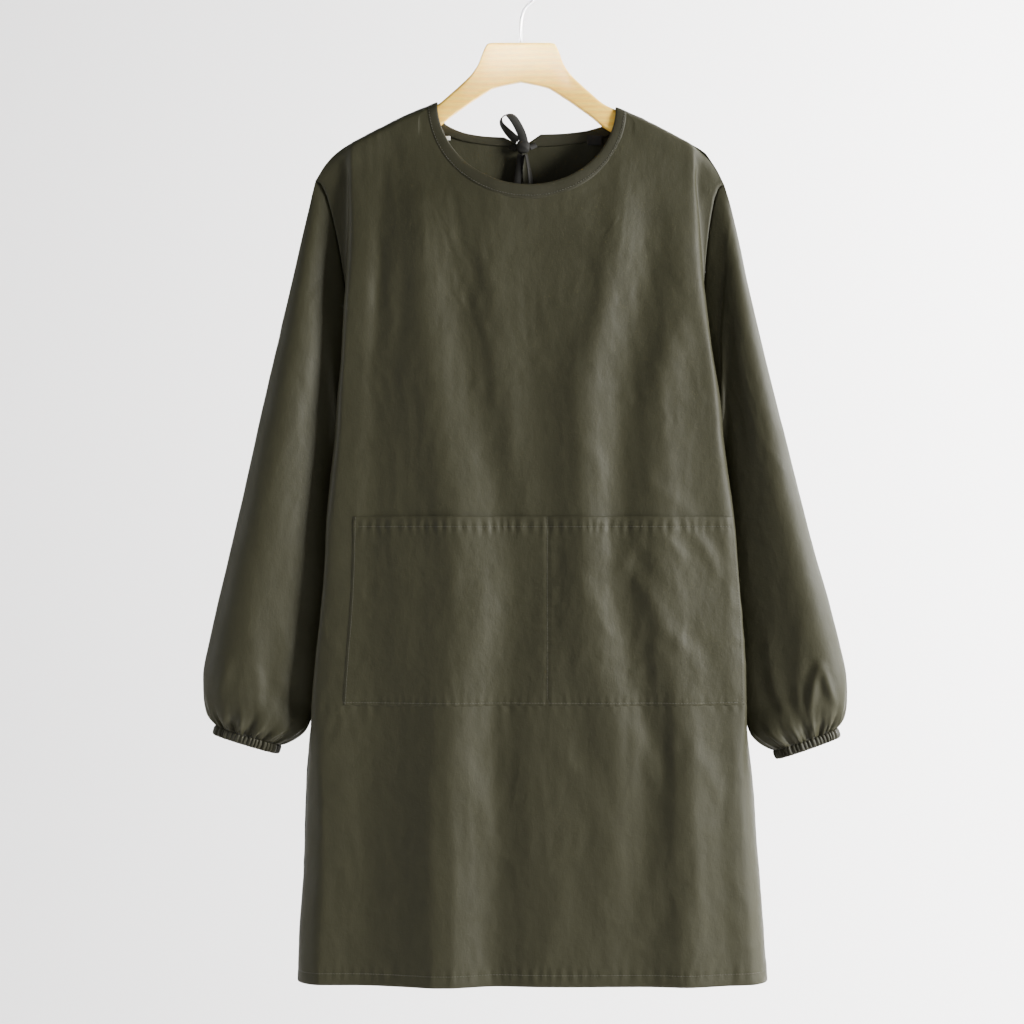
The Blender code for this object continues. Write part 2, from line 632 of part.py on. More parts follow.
def sleeve_form(side):
    """Outer rings of the sleeve on its fine columns, and their normals."""
    places = (0.0, *COARSE_RINGS, *FINE_RINGS)
    rings = np.array([sleeve_ring(side, place, GATHER_COLUMNS) for place in places])
    rings[0] = [armhole(side, 2 * pi * k / GATHER_COLUMNS) for k in range(GATHER_COLUMNS)]
    looped = np.concatenate([rings[:, -1:], rings, rings[:, :1]], axis=1)
    middle = rings.mean(axis=1, keepdims=True)
    along, around = np.gradient(looped, axis=(0, 1))
    normals = unit(np.cross(along, around))[:, 1:-1]
    outward = np.sign(np.sum(normals * (rings - middle), axis=-1).mean())
    normals = normals * outward
    normals[-1] = unit(rings[-1] - middle[-1])
    columns = np.arange(GATHER_COLUMNS)
    degrees = 360 * columns / GATHER_COLUMNS
    wave = np.array((1, 0, -1, 0))[columns % 4]
    for i, place in enumerate(places[1:], start=1):
        relief = SLEEVE.read("gather", place) * wave * (i > len(COARSE_RINGS))
        calm = ease(place / 3) * ease((13 - place) / 4)
        for angle, width, height in SLEEVE_FOLDS:
            apart = (degrees - angle + 180) % 360 - 180
            relief = relief + calm * height * np.exp(-(apart / width) ** 2)
        rings[i] += normals[i] * relief[:, None]
    normals[0] = [armhole_outward(side, 2 * pi * k / GATHER_COLUMNS) for k in range(GATHER_COLUMNS)]
    return rings, normals


# ---- Pieces --------------------------------------------------------------------------------------

def make_front(cloth):
    grid, normals = front_form()
    sheet_solid("front_panel", grid, grid - normals * WALL, cloth)
    return grid, normals


def make_back(side, cloth):
    grid, normals = back_form(side)
    name = "back_panel_left" if side == LEFT else "back_panel_right"
    sheet_solid(name, grid, grid - normals * WALL, cloth)
    return grid, normals


def make_sleeve(side, cloth):
    """The sleeve as four shells: an upper and a lower length, each with a front and a back half."""
    rings, normals = sleeve_form(side)
    inside = rings - normals * WALL
    split = 1 + COARSE_RINGS.index(SLEEVE_SPLIT)
    half_round = GATHER_COLUMNS // 2
    name = "left" if side == LEFT else "right"
    for length, rows, step in (("upper", slice(0, split + 1), 2), ("lower", slice(split, None), 1)):
        for half, first in (("front", 0), ("back", half_round)):
            columns = [(first + k) % GATHER_COLUMNS for k in range(0, half_round + 1, step)]
            outer, inner = (narrowed(shell[rows][:, columns], length) for shell in (rings, inside))
            sheet_solid(f"sleeve_{name}_{length}_{half}", outer, inner, cloth)


def narrowed(shell, length):
    """A shell's points with the edges that meet another shell drawn in by half a seam."""
    shell = shell.copy()
    shell[:, 0] += unit(shell[:, 1] - shell[:, 0]) * SEAM / 2
    shell[:, -1] += unit(shell[:, -2] - shell[:, -1]) * SEAM / 2
    if length == "upper":
        shell[-1] += unit(shell[-2] - shell[-1]) * SEAM / 2
    else:
        shell[0] += unit(shell[1] - shell[0]) * SEAM / 2
    return shell


def make_cuff(side, cloth):
    outer, inner, _ = sleeve_edges(side, 13.0)
    across = unit(inner - outer)
    axis = unit(np.array((across[2], 0, -across[0])) * side)
    axis = axis if axis[2] < 0 else -axis
    base = sleeve_ring(side, 13.0, GATHER_COLUMNS)
    centre = base.mean(axis=0)
    spokes = unit(base - centre)
    wave = CUFF_WAVE * np.array((1, 0, -1, 0))[np.arange(GATHER_COLUMNS) % 4][:, None]
    rings, inside = [], []
    for share, swell in ((0, 0.0), (0.5, 0.6), (1, -0.4)):
        ring = base + spokes * (wave + swell) + axis * (SEAM + CUFF_HEIGHT * share)
        rings.append(ring)
        inside.append(ring - spokes * WALL)
    name = "left" if side == LEFT else "right"
    tube_solid("cuff_" + name, rings, inside, cloth)


def make_binding(front, backs, cloth):
    """The strip round the neckline, through stations at the panels' own columns."""
    def station(edge, lower, normal):
        towards = unit(edge - lower)
        low = lower + towards * SEAM
        return edge, low, normal

    stations = []
    first = TUCK_COLUMNS + SHOULDER_COLUMNS
    for side in (LEFT, RIGHT):
        grid, normals = backs[side]
        part = []
        for k in range(len(BACK_NECK_TURNS) - 1, 0, -1):
            x, z = back_neck(side, BACK_NECK_TURNS[k], 0)
            edge = np.array((x, float(depth(BACK, x, z)), z))
            part.append(station(edge, grid[0, first + k], normals[0, first + k]))
        stations.append(part)
    grid, normals = front
    middle = []
    turns = neck_turns()
    for k, turn in enumerate(turns):
        x, z = front_neck(turn, 0)
        edge = np.array((x, float(depth(FRONT, x, z)), z))
        lower = grid[0, first + k].copy()
        normal = normals[0, first + k]
        if k in (0, len(turns) - 1):
            edge[1] = lower[1] = 0
        middle.append(station(edge, lower, normal))
    line = stations[0] + middle + stations[1][::-1]
    outer = np.array([(edge, low) for edge, low, _ in line])
    inner = np.array([(edge - normal * WALL, low - normal * WALL) for edge, low, normal in line])
    sheet_solid("neck_binding", outer, inner, cloth)


def make_pocket(front, cloth):
    """The patch over the lower front, made from the front's own points moved out."""
    grid, normals = front
    top = ARMHOLE_ROWS + 1 + LOWER_ROWS.index(POCKET_TOP_Z)
    low = ARMHOLE_ROWS + 1 + LOWER_ROWS.index(POCKET_LOW_Z)
    first = TUCK_COLUMNS + 1
    last = TUCK_COLUMNS + len(SHARES)
    rows, columns = slice(top, low + 1), slice(first, last + 1)
    base, out = grid[rows, columns], normals[rows, columns]
    down = np.linspace(0, 1, base.shape[0])[:, None, None]
    across = np.linspace(0, 1, base.shape[1])[None, :, None]
    stand_off = 1.6 * (1 - down) * np.abs(np.sin(2 * pi * across))
    inside = base + out * (SEAM + stand_off)
    sheet_solid("front_pocket", inside + out * WALL, inside, cloth)


def make_label(name, material):
    """A small tag on the inside of a back panel, from the panel's own form moved in."""
    side, middle_x, middle_z, half_width, half_height = LABELS[name]
    xs = np.linspace(middle_x - half_width, middle_x + half_width, 3)
    zs = np.linspace(middle_z + half_height, middle_z - half_height, 3)
    x, z = np.meshgrid(xs, zs)
    step = 0.5
    y = depth(BACK, x, z)
    slope_x = (depth(BACK, x + step, z) - y) / step
    slope_z = (depth(BACK, x, z + step) - y) / step
    normals = unit(np.stack([-slope_x, np.ones_like(x), -slope_z], axis=-1))
    panel = np.stack([x, y, z], axis=-1)
    near = panel - normals * (WALL + 2.5 * SEAM)
    sheet_solid(name, near, near - normals * LABEL_WALL, material)


def make_tape(name, material):
    """A flat tape along its route, its width turning smoothly."""
    points, sides, share = TIE_ROUTES[name]
    route = curve_through(points, TAPE_STEPS)
    widths = unit(curve_through(sides, TAPE_STEPS))
    along = unit(np.gradient(route, axis=0))
    widths = unit(widths - along * np.sum(widths * along, axis=1, keepdims=True))
    faces = np.cross(along, widths)
    half = TAPE_WIDTH * share / 2
    rings = []
    for point, width, face in zip(route, widths, faces):
        rings.append([point + width * a * half + face * b * TAPE_THICKNESS / 2
                      for a, b in ((1, 1), (-1, 1), (-1, -1), (1, -1))])
    rod_solid(name, rings, material)


def curve_through(points, steps):
    """A smooth curve through the points, with some steps between each two."""
    table = np.array(points, float)
    padded = np.concatenate([[2 * table[0] - table[1]], table, [2 * table[-1] - table[-2]]])
    curve = []
    for i in range(1, len(padded) - 2):
        before, a, b, after = padded[i - 1:i + 3]
        for t in np.arange(steps) / steps:
            curve.append(0.5 * (2 * a + (b - before) * t + (2 * before - 5 * a + 4 * b - after) * t ** 2
                                + (3 * a - before - 3 * b + after) * t ** 3))
    curve.append(table[-1])
    return np.array(curve)


def make_knot(material):
    """The knot of the ties: a rounded lump with a waist across its front."""
    rings = []
    for height in (-1, -0.8, -0.4, 0, 0.4, 0.8, 1):
        reach = max(1 - abs(height) ** 2.6, 0.0) ** 0.5 * 0.75 + 0.25
        ring = []
        for k in range(12):
            angle = 2 * pi * k / 12
            waist = 1 - 0.14 * (1 - abs(height)) * max(-sin(angle), 0)
            ring.append((
                KNOT_CENTRE[0] + KNOT_HALF[0] * reach * cos(angle),
                KNOT_CENTRE[1] + KNOT_HALF[1] * reach * sin(angle) * waist,
                KNOT_CENTRE[2] + KNOT_HALF[2] * height))
        rings.append(ring)
    rod_solid("tie_knot", rings, material)


def make_hanger(material):
    """The wooden arm: sections along X with a rounded upper edge and a bevelled lower edge."""
    stations = [-x for x in reversed(HANGER_STATIONS[1:])] + list(HANGER_STATIONS)
    rings = []
    for x in stations:
        top, low = (float(HANGER.read(name, abs(x))) for name in ("top", "low"))
        half = float(HANGER.read("half_depth", abs(x)))
        round_ = min(HANGER_ROUND, half - 0.6)
        upper = [(half - round_ * (1 - sin(a)), top - round_ * (1 - cos(a))) for a in radians_list(90, 45, 12)]
        lower = [(half - HANGER_BEVEL, low), (half, low + HANGER_BEVEL)]
        right = lower + upper
        section = right + [(-y, z) for y, z in reversed(right)]
        rings.append([(x, y, z) for y, z in section])
    rod_solid("hanger_arm", rings, material)


def radians_list(*degrees):
    return [radians(angle) for angle in degrees]


def make_hook(material):
    """The wire hook: a straight shank, a bend and a loop round the rail."""
    centre_z = -(HOOK_RADIUS - WIRE_RADIUS)
    route = [np.array((x, 0, z)) for x, z in HOOK_SHANK]
    for k in range(HOOK_STEPS + 1):
        angle = radians(mix(HOOK_FIRST_ANGLE, HOOK_LAST_ANGLE, k / HOOK_STEPS))
        route.append(np.array((HOOK_RADIUS * cos(angle), 0, centre_z + HOOK_RADIUS * sin(angle))))
    route = np.array(route)
    along = unit(np.gradient(route, axis=0))
    along[0] = (0, 0, 1)
    sideways = np.array((0, 1, 0))
    rings = []
    for point, direction in zip(route, along):
        across = np.cross(sideways, direction)
        rings.append([point + WIRE_RADIUS * (across * cos(a) + sideways * sin(a))
                      for a in (2 * pi * k / HOOK_SIDES for k in range(HOOK_SIDES))])
    rod_solid("hanger_hook", rings, material)


def main():
    clear_scene()
    materials = {name: make_material(name) for name in MATERIALS}
    cloth = materials["olive_cloth"]
    front = make_front(cloth)
    backs = {side: make_back(side, cloth) for side in (LEFT, RIGHT)}
    for side in (LEFT, RIGHT):
        make_sleeve(side, cloth)
        make_cuff(side, cloth)
    make_binding(front, backs, cloth)
    make_pocket(front, cloth)
    make_label("neck_label", materials["woven_label"])
    make_label("size_tag", materials["light_tag"])
    for name in TIE_ROUTES:
        make_tape(name, materials["tie_tape"])
    make_knot(materials["tie_tape"])
    make_hanger(materials["beech"])
    make_hook(materials["white_wire"])


main()
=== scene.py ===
# %% [markdown]
# # Painter smock on a wooden hanger
#
# A dark olive painter smock hangs on a flat beech hanger.  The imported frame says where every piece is.
# This script dresses it in small steps: camera, ties, the garment's form on a fine grid, creases,
# seams and stitches, wood and wire, materials, light.  Lengths are in millimetres until a mesh is made.

# %%
from math import cos, pi, radians, sin

import bpy
import numpy as np
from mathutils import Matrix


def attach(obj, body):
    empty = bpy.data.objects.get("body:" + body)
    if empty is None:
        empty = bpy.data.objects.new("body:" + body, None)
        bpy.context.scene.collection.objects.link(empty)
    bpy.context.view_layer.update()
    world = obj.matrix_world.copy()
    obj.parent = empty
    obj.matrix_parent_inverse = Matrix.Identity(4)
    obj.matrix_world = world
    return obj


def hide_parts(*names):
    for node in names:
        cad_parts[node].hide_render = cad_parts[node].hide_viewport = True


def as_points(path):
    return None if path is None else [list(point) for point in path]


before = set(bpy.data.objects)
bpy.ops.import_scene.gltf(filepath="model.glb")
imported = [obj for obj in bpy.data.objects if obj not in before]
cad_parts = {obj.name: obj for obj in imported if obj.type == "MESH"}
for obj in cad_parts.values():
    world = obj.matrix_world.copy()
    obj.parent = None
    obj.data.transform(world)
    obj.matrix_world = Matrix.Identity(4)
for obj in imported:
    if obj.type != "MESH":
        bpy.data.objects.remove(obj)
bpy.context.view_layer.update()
MM = 0.001

# %% [markdown]
# ## Camera
#
# The view is level and straight on.  Its distance is read from the hem: a flat hem that hangs closer to
# the lens than the side seams shows as a shallow curve, about 9 mm deep at this distance.

# %%
VIEW_WIDTH = 1.106          # metres across the picture, at the hook's depth
VIEW_CENTRE = (-0.0097, -0.581)
CAMERA_DISTANCE = 2.7
SENSOR = 36                 # mm

camera_data = bpy.data.cameras.new("camera")
camera_data.sensor_width = SENSOR
camera_data.lens = SENSOR * CAMERA_DISTANCE / VIEW_WIDTH
camera = bpy.data.objects.new("camera", camera_data)
camera.location = (VIEW_CENTRE[0], -CAMERA_DISTANCE, VIEW_CENTRE[1])
camera.rotation_euler = (radians(90), 0, 0)
bpy.context.scene.collection.objects.link(camera)
bpy.context.scene.camera = camera
print("camera lens in mm:", round(camera_data.lens, 1))

# %% [markdown]
# ## The sizes of the garment
#
# The same named sizes and short tables as the solids were made from.  A Table has named columns and is
# read smoothly along its first column.

# %%
WALL = 1.3              # cloth wall
SEAM = 0.3              # gap between neighbouring pieces
LEFT, RIGHT = -1, 1     # the viewer's sides
FRONT, BACK = -1, 1     # towards the viewer, away from the viewer
SIDE_NAMES = {LEFT: "left", RIGHT: "right"}
FACE_NAMES = {FRONT: "front", BACK: "back"}

# Heights of the garment
SHOULDER_Z = -190.0     # where the side folds leave the shoulder line
UNDERARM_Z = -455.0
POCKET_TOP_Z = -586.0
POCKET_LOW_Z = -787.0
HEM_Z = -1085.0

# Shoulders and neck
ROLL = 8.8              # radius of the cloth where it rolls over the hanger
ROLL_STEP = 2.55        # drop of the first row over that roll
NECK_X = {LEFT: -90.7, RIGHT: 102.7}
NECK_DROP = 89.0        # front neckline below the shoulder line
BINDING = 10.0          # width of the neck binding
SLIT_X = {LEFT: -17.3, RIGHT: 20.5}     # corners of the back neck slit, at the neckline
SLIT_Z = {LEFT: -175.0, RIGHT: -172.0}
SLIT_PULL = 0.6         # half width of the slit below the binding, drawn shut by the ties
SLIT_END_Z = -360.0
SLIT_GAP = 0.1
SLIT_DROP = 11.0        # the panels' corners at the slit below the binding's
CENTRE_BACK_TOP_X, CENTRE_BACK_HEM_X = 1.5, 12.0

# Columns and rows of the panels
SHOULDER_COLUMNS = 6
NECK_TURNS = (0.0, 0.0082, 0.0284, 0.09, 0.172, 0.254, 0.336, 0.418)    # up to the middle, mirrored
BACK_NECK_TURNS = (0.0, 0.0081, 0.0545, 0.25, 0.5, 0.75, 1.0)
NECK_FAN = 0.6          # how far the columns lean outwards where they leave the neckline
TUCK_COLUMNS = 4
ARMHOLE_ROWS = 14
LOWER_ROWS = (-500, -543, POCKET_TOP_Z, -636, -686, -737, POCKET_LOW_Z, -850, -925, -1005, HEM_Z)
POCKET_EDGE = 0.049     # first column of the pocket, as a share of the front's width

# Armholes: top and underarm points, how far the seam bows towards the body, and to front and back
ARMHOLE_TOP = {LEFT: (-222.0, -223.0), RIGHT: (219.5, -227.0)}
UNDERARM_X = {LEFT: -189.0, RIGHT: 207.0}
ARMHOLE_BOW = {FRONT: 16.0, BACK: 8.0}
ARMHOLE_DEPTH = {FRONT: 2.5, BACK: 4.0}


class Table:
    """A short table with named columns, read smoothly along its first column."""

    def __init__(self, names, *rows):
        self.names = names.split()
        self.columns = np.array(sorted(rows), float).T

    def read(self, name, place):
        places = self.columns[0]
        values = self.columns[self.names.index(name)]
        steps = np.diff(values) / np.diff(places)
        slopes = np.zeros(len(values))
        product = steps[1:] * steps[:-1]
        total = steps[1:] + steps[:-1]
        same_way = product > 0
        slopes[1:-1][same_way] = 2 * product[same_way] / total[same_way]
        slopes[0], slopes[-1] = steps[0], steps[-1]
        place = np.clip(place, places[0], places[-1])
        i = np.clip(np.searchsorted(places, place) - 1, 0, len(steps) - 1)
        width = places[i + 1] - places[i]
        t = (place - places[i]) / width
        bend = slopes[i] + slopes[i + 1] - 2 * steps[i]
        turn = 3 * steps[i] - 2 * slopes[i] - slopes[i + 1]
        return values[i] + width * t * (slopes[i] + t * (turn + t * bend))


# The shoulder line of the cloth, on both sides of the hook
ROOF = Table(
    "x z",
    (0, -106), (50, -117), (91, -138.5), (126, -153.5), (165, -173), (188, -186), (200, -195), (210, -206),
    (222, -225))

# Body: left and right are the outermost points of the side folds, seam is how far inside them the side
# seam lies, and front, front_side, back and back_side are the depths at the middle and at the folds.
BODY = Table(
    "z left right seam front front_side back back_side corner",
    (-190, -184, 201, 0, 24, 20, 17, 16, 2),
    (-245, -184, 201, 0, 25, 21, 17, 16, 5),
    (-309, -188, 202, 8, 27, 22, 17, 16, 6),
    (-352, -192, 205, 6, 28, 23, 17, 16, 6),
    (-406, -195, 209, 7, 29, 24, 18, 17, 6),
    (-455, -198, 214, 8, 31, 25, 18, 17, 7),
    (-514, -202, 220, 10, 33, 26, 19, 17, 8),
    (-568, -208, 227, 12, 35, 27, 20, 17, 9),
    (-633, -211, 233, 12, 37, 28, 21, 18, 10),
    (-690, -216, 238, 11, 39, 29, 22, 18, 12),
    (-750, -223, 241, 8, 41, 30, 23, 19, 14),
    (-827, -230, 247, 1, 43, 31, 24, 20, 17),
    (-892, -232, 251, 0, 44, 32, 25, 20, 22),
    (-978, -236, 258, 0, 46, 33, 26, 20, 26),
    (-1085, -241, 266, 0, 48, 34, 27, 20, 28))

# How a panel turns from a side fold to its side edge: share of the fold's corner taken, where the fold
# stands over the sleeve and where it is plainly round, share of the way to the edge, and shares of the
# depth given back, low down and beside the armhole.
TUCK = Table(
    "along corner round home back deep",
    (0.0, 0.0, 0.0, 0.0, 0.0, 0.0),
    (0.25, 0.8, 0.38, 0.0, 0.09, 0.25),
    (0.5, 1.0, 0.71, 0.06, 0.32, 0.76),
    (0.75, 1.0, 0.92, 0.55, 0.62, 0.94),
    (1.0, 1.0, 1.0, 1.0, 1.0, 1.0))
HOLLOW_Z, DEEP_Z, TUCK_CHANGE = -860, -620, 120     # where they change, and over what height

# Soft vertical folds: where each crest runs, its half width and its height.  A negative height is a trough.
FOLD_COLUMNS = "z x width height"
FRONT_FOLDS = tuple(Table(FOLD_COLUMNS, *rows) for rows in (
    ((-190, -149, 10, -2.6), (-350, -151, 11, -3.2), (-455, -154, 18, -2.6), (-1085, -172, 36, -5)),
    ((-190, -112, 18, 2.6), (-276, -108, 18, 3.6), (-455, -96, 24, 4.2), (-676, -70, 30, 5.5),
     (-849, -84, 34, 8), (-1085, -86, 34, 10)),
    ((-190, -58, 20, -1.6), (-350, -62, 18, -2.6), (-455, -46, 18, -2.8), (-676, -8, 24, -4),
     (-849, -26, 28, -5), (-1085, -26, 28, -5)),
    ((-190, -36, 12, 0), (-350, -34, 10, 1.4), (-455, -20, 11, 1.6), (-560, -8, 12, 0), (-1085, -8, 12, 0)),
    ((-190, 34, 26, -1.0), (-350, 16, 24, -2.0), (-455, 14, 22, -2.0), (-676, 20, 24, -1.0),
     (-849, 30, 24, 0), (-1085, 30, 24, 0)),
    ((-190, 108, 15, 2.0), (-276, 102, 16, 3.2), (-350, 90, 18, 4.0), (-455, 66, 20, 4.4),
     (-676, 66, 24, 4.6), (-800, 92, 22, 4.2), (-910, 98, 22, 2.0), (-1085, 60, 34, 1.2)),
    ((-190, 140, 16, -2.0), (-276, 140, 16, -3.0), (-350, 132, 17, -3.4), (-455, 112, 18, -3.2),
     (-560, 104, 18, -3.4), (-676, 110, 20, -2.2), (-849, 144, 18, -3.6), (-957, 126, 30, -1.4),
     (-1085, 110, 40, -0.8)),
    ((-190, 176, 14, 2.0), (-350, 176, 15, 2.4), (-455, 150, 18, 3.4), (-676, 152, 26, 5.6),
     (-849, 176, 26, 8), (-1085, 178, 30, 9))))
BACK_FOLDS = tuple(
    Table(FOLD_COLUMNS, (SHOULDER_Z, *top), (UNDERARM_Z, *middle), (HEM_Z, *low))
    for top, middle, low in (
        ((-120, 18, 1.5), (-126, 22, 3.0), (-150, 36, 6.0)),
        ((-70, 20, -1.0), (-72, 24, -2.0), (-84, 32, -5.0)),
        ((60, 22, 1.0), (64, 26, 3.0), (84, 36, 6.0)),
        ((122, 20, -1.0), (130, 24, -2.0), (160, 30, -5.0))))
FOLD_SPREAD = 150.0     # drop below the shoulder line over which the cloth comes to its full depth

# Sleeve, measured from the hook's axis outwards: its outer and inner edges, and the half depths to front
# and back.  The first row is the armhole and the last is the cuff seam; bow is the share of the armhole's
# bow that is left.  swing and swing_in are how much further out the right sleeve's two edges hang, and
# sag how much lower.
SLEEVE = Table(
    "place outer outer_z inner inner_z front back bow gather swing swing_in sag",
    (0.0, 222, -223, 189, -455, 2.5, 4, 1.0, 0, -2.5, 18, 0),
    (0.5, 227, -246, 195, -463, 6, 6, 0.6, 0, -2, 18, 0),
    (1.5, 237, -288, 199, -480, 13, 9, 0.25, 0, -2, 18, 0),
    (3.0, 251, -350, 203, -514, 19, 12, 0.05, 0, -3, 18, 0),
    (4.0, 266, -412, 205, -556, 22, 14, 0, 0, -3, 18, 0),
    (5.0, 283, -487, 206, -610, 25, 16, 0, 0, -1, 20, 0),
    (6.0, 299, -559, 209, -664, 27, 17, 0, 0, 1, 21, 0),
    (7.0, 315, -628, 216, -716, 28, 18, 0, 0, 3, 21, 0),
    (8.0, 329, -687, 218, -753, 29, 19, 0, 0, 6, 20, 0),
    (9.0, 338, -730, 223, -779, 29, 20, 0, 0, 8, 18, 1),
    (10.0, 343, -763, 226, -799, 28, 20, 0, 0.1, 9, 17, 2),
    (11.0, 341, -786, 232, -815, 25, 19, 0, 0.8, 10, 16, 4),
    (12.0, 335, -802, 248, -826, 21, 18, 0, 2.3, 11, 14, 5),
    (13.0, 329, -811, 260, -832, 17, 16, 0, 1.6, 12, 13, 6))
COARSE_RINGS = (0.5, 1.5, 2.6, 3.7, 4.8, 5.9, 7.0, 8.0)
FINE_RINGS = (8.9, 9.8, 10.6, 11.3, 12.0, 12.6, 13.0)
CUFF_SEAM = 13.0        # the last place
GATHER_COLUMNS = 4 * ARMHOLE_ROWS
CUFF_HEIGHT = 10.0
CUFF_WAVE = 0.9
SLEEVE_FOLDS = (        # angle round the sleeve in degrees, half width in degrees, height
    (48, 20, 2.2), (84, 18, -1.8), (118, 20, 2.0), (232, 22, 1.6), (290, 24, -1.4))

# Hanger, along X on both sides of the hook
HANGER = Table(
    "x top low half_depth",
    (0, -74.5, -116.6, 6), (30, -74.5, -123.5, 6), (36, -75.5, -127, 6), (40, -82, -129.5, 6),
    (46, -97.5, -133.5, 6), (53, -108, -138, 6), (62, -117, -144.5, 6), (76, -129.5, -154.5, 6),
    (90, -141, -166, 6), (110, -150, -177, 6), (140, -164, -190, 6), (162, -175, -200, 6),
    (178, -184.5, -207, 5.5), (186, -191.5, -209, 4), (191, -198, -206, 3))
HANGER_REACH = 191
HANGER_ROUND = 5.0      # rounding of the hanger's upper edges
HANGER_BEVEL = 2.2      # bevel of its lower edges

# Hook wire
WIRE_RADIUS = 1.6
HOOK_RADIUS = 18.0      # to the middle of the wire
HOOK_FOOT_Z = -74.5 + SEAM
HOOK_SHANK = ((0.0, HOOK_FOOT_Z), (0.0, -62.0), (0.1, -51.0), (2.6, -40.0), (7.4, -33.6))
HOOK_FIRST_ANGLE, HOOK_LAST_ANGLE, HOOK_STEPS = -44.0, 205.0, 16

# Ties: each tape's route, the direction its width lies in at every point, and its share of the width
TAPE_WIDTH = 9.5
TAPE_THICKNESS = 1.2
KNOT_CENTRE = (2.4, 5.2, -185.6)
KNOT_HALF = (7.2, 3.9, 7.4)
TIE_ROUTES = {
    "tie_strap_left": (
        ((-12.0, 9.4, -184.6), (-8.6, 8.0, -186.2), (-5.2, 6.4, -187.2)),
        ((0.25, 0, 1), (0.25, 0, 1), (0.15, 0, 1)), 0.6),
    "tie_strap_right": (
        ((16.5, 9.4, -183.0), (13.0, 8.0, -185.0), (9.6, 6.4, -186.6)),
        ((-0.3, 0, 1), (-0.3, 0, 1), (-0.2, 0, 1)), 0.6),
    "tie_loop": (
        ((3.2, 3.6, -181.2), (1.0, 2.4, -173.0), (-4.0, 1.4, -162.5), (-9.5, 1.2, -154.8),
         (-15.5, 2.6, -151.6), (-20.8, 3.6, -155.0), (-21.0, 4.0, -161.0), (-15.5, 4.2, -168.4),
         (-9.0, 4.4, -175.0), (-3.4, 5.0, -180.0)),
        ((1, 0, 0.5), (1, 0, 0.5), (1, 0.2, 0.6), (0.7, 0.5, 0.7), (0.3, 1, 0.3),
         (-0.1, 1, 0.1), (-0.4, 1, 0), (-0.8, 0.8, -0.2), (-1, 0.5, -0.3), (-1, 0.4, -0.3)), 1.0),
    "tie_tail_left": (
        ((0.4, 5.8, -193.8), (-0.8, 7.0, -201.0), (-2.6, 7.8, -212.0), (-4.4, 8.0, -226.0),
         (-7.0, 8.2, -244.0), (-8.6, 8.6, -264.0), (-8.0, 9.0, -284.0), (-9.6, 9.2, -302.0)),
        ((1, 0, 0), (1, 0, -0.1), (1, 0, -0.1), (1, 0.1, -0.1), (1, 0.2, -0.1), (1, 0.1, 0), (1, 0, 0),
         (1, 0, 0)), 0.85),
    "tie_tail_right": (
        ((5.4, 5.8, -193.6), (7.0, 6.6, -201.0), (9.0, 7.0, -212.0), (10.6, 7.2, -226.0),
         (11.6, 7.8, -246.0), (14.2, 8.2, -268.0), (16.0, 8.8, -292.0), (15.0, 9.2, -316.0)),
        ((0.4, 1, 0), (0.4, 1, 0), (0.5, 1, 0), (0.8, 0.9, 0), (1, 0.6, 0), (1, 0.3, 0), (1, 0.1, 0),
         (1, 0, 0)), 0.85)}

# Labels inside the back neck, laid on the back panels: middle x and z, half width and half height
LABELS = {"neck_label": (80.0, -178.0, 8.0, 5.5), "size_tag": (-82.0, -176.0, 5.5, 2.2)}
LABEL_WALL = 0.8

print("tables ready: body rows", BODY.columns.shape[1], "sleeve rows", SLEEVE.columns.shape[1])

# %% [markdown]
# ## The form of the cloth
#
# Each panel is a grid of points: rows run across the cloth and columns run down it.  The functions give
# the shoulder line, the necklines, the soft vertical folds, the armholes and the sleeves' rings.

# %%
def unit(vectors):
    vectors = np.asarray(vectors, float)
    return vectors / np.maximum(np.linalg.norm(vectors, axis=-1, keepdims=True), 1e-12)


def surface_normals(grid, outward, closed=False):
    """Unit normals, all turned to the side that most outward vectors name."""
    wide = np.concatenate([grid[:, -1:], grid, grid[:, :1]], axis=1) if closed else grid
    down, across = np.gradient(wide, axis=(0, 1))
    normals = unit(np.cross(down, across))
    if closed:
        normals = normals[:, 1:-1]
    return normals * np.sign(np.sum(normals * outward, axis=-1).mean())


def ease(t):
    t = np.clip(t, 0, 1)
    return t * t * (3 - 2 * t)


def mix(a, b, t):
    return a + (b - a) * t


def roof(x):
    """Height of the shoulder line."""
    return ROOF.read("z", np.abs(x))


def depth(face, x, z):
    """Y of the cloth's outer face in front (FRONT) or behind (BACK)."""
    name = FACE_NAMES[face]
    left, right = BODY.read("left", z), BODY.read("right", z)
    share = np.clip(np.abs(x - (left + right) / 2) / ((right - left) / 2), 0, 1)
    full = mix(BODY.read(name, z), BODY.read(name + "_side", z), share ** 2.4)
    for fold in FRONT_FOLDS if face == FRONT else BACK_FOLDS:
        aside = (x - fold.read("x", z)) / fold.read("width", z)
        full = full + fold.read("height", z) * np.exp(-aside ** 2)
    drop = np.maximum(roof(x) - z, 0)
    roll = ROLL * np.sqrt(1 - (1 - np.minimum(drop, ROLL) / ROLL) ** 2)
    return face * (roll + (full - ROLL) * ease((drop - ROLL) / FOLD_SPREAD) + SEAM / 2)


def face_at(angle):
    """The face of the garment where an angle round an armhole lies."""
    return FRONT if sin(angle) >= 0 else BACK


def bow(angle):
    """How far the armhole seam bows towards the body."""
    return ARMHOLE_BOW[face_at(angle)] * abs(sin(angle)) ** (0.8 + 3.7 * ease(-2.5 * cos(angle)))


def armhole(side, angle):
    """Point of the armhole seam; angle 0 is its top, a quarter turn its front, a half turn the underarm."""
    top_x, top_z = ARMHOLE_TOP[side]
    down = (1 + cos(angle)) / 2
    face = face_at(angle)
    return np.array((
        mix(UNDERARM_X[side], top_x, down) - side * bow(angle),
        face * ARMHOLE_DEPTH[face] * abs(sin(angle)) ** 0.8,
        mix(UNDERARM_Z, top_z, down)))


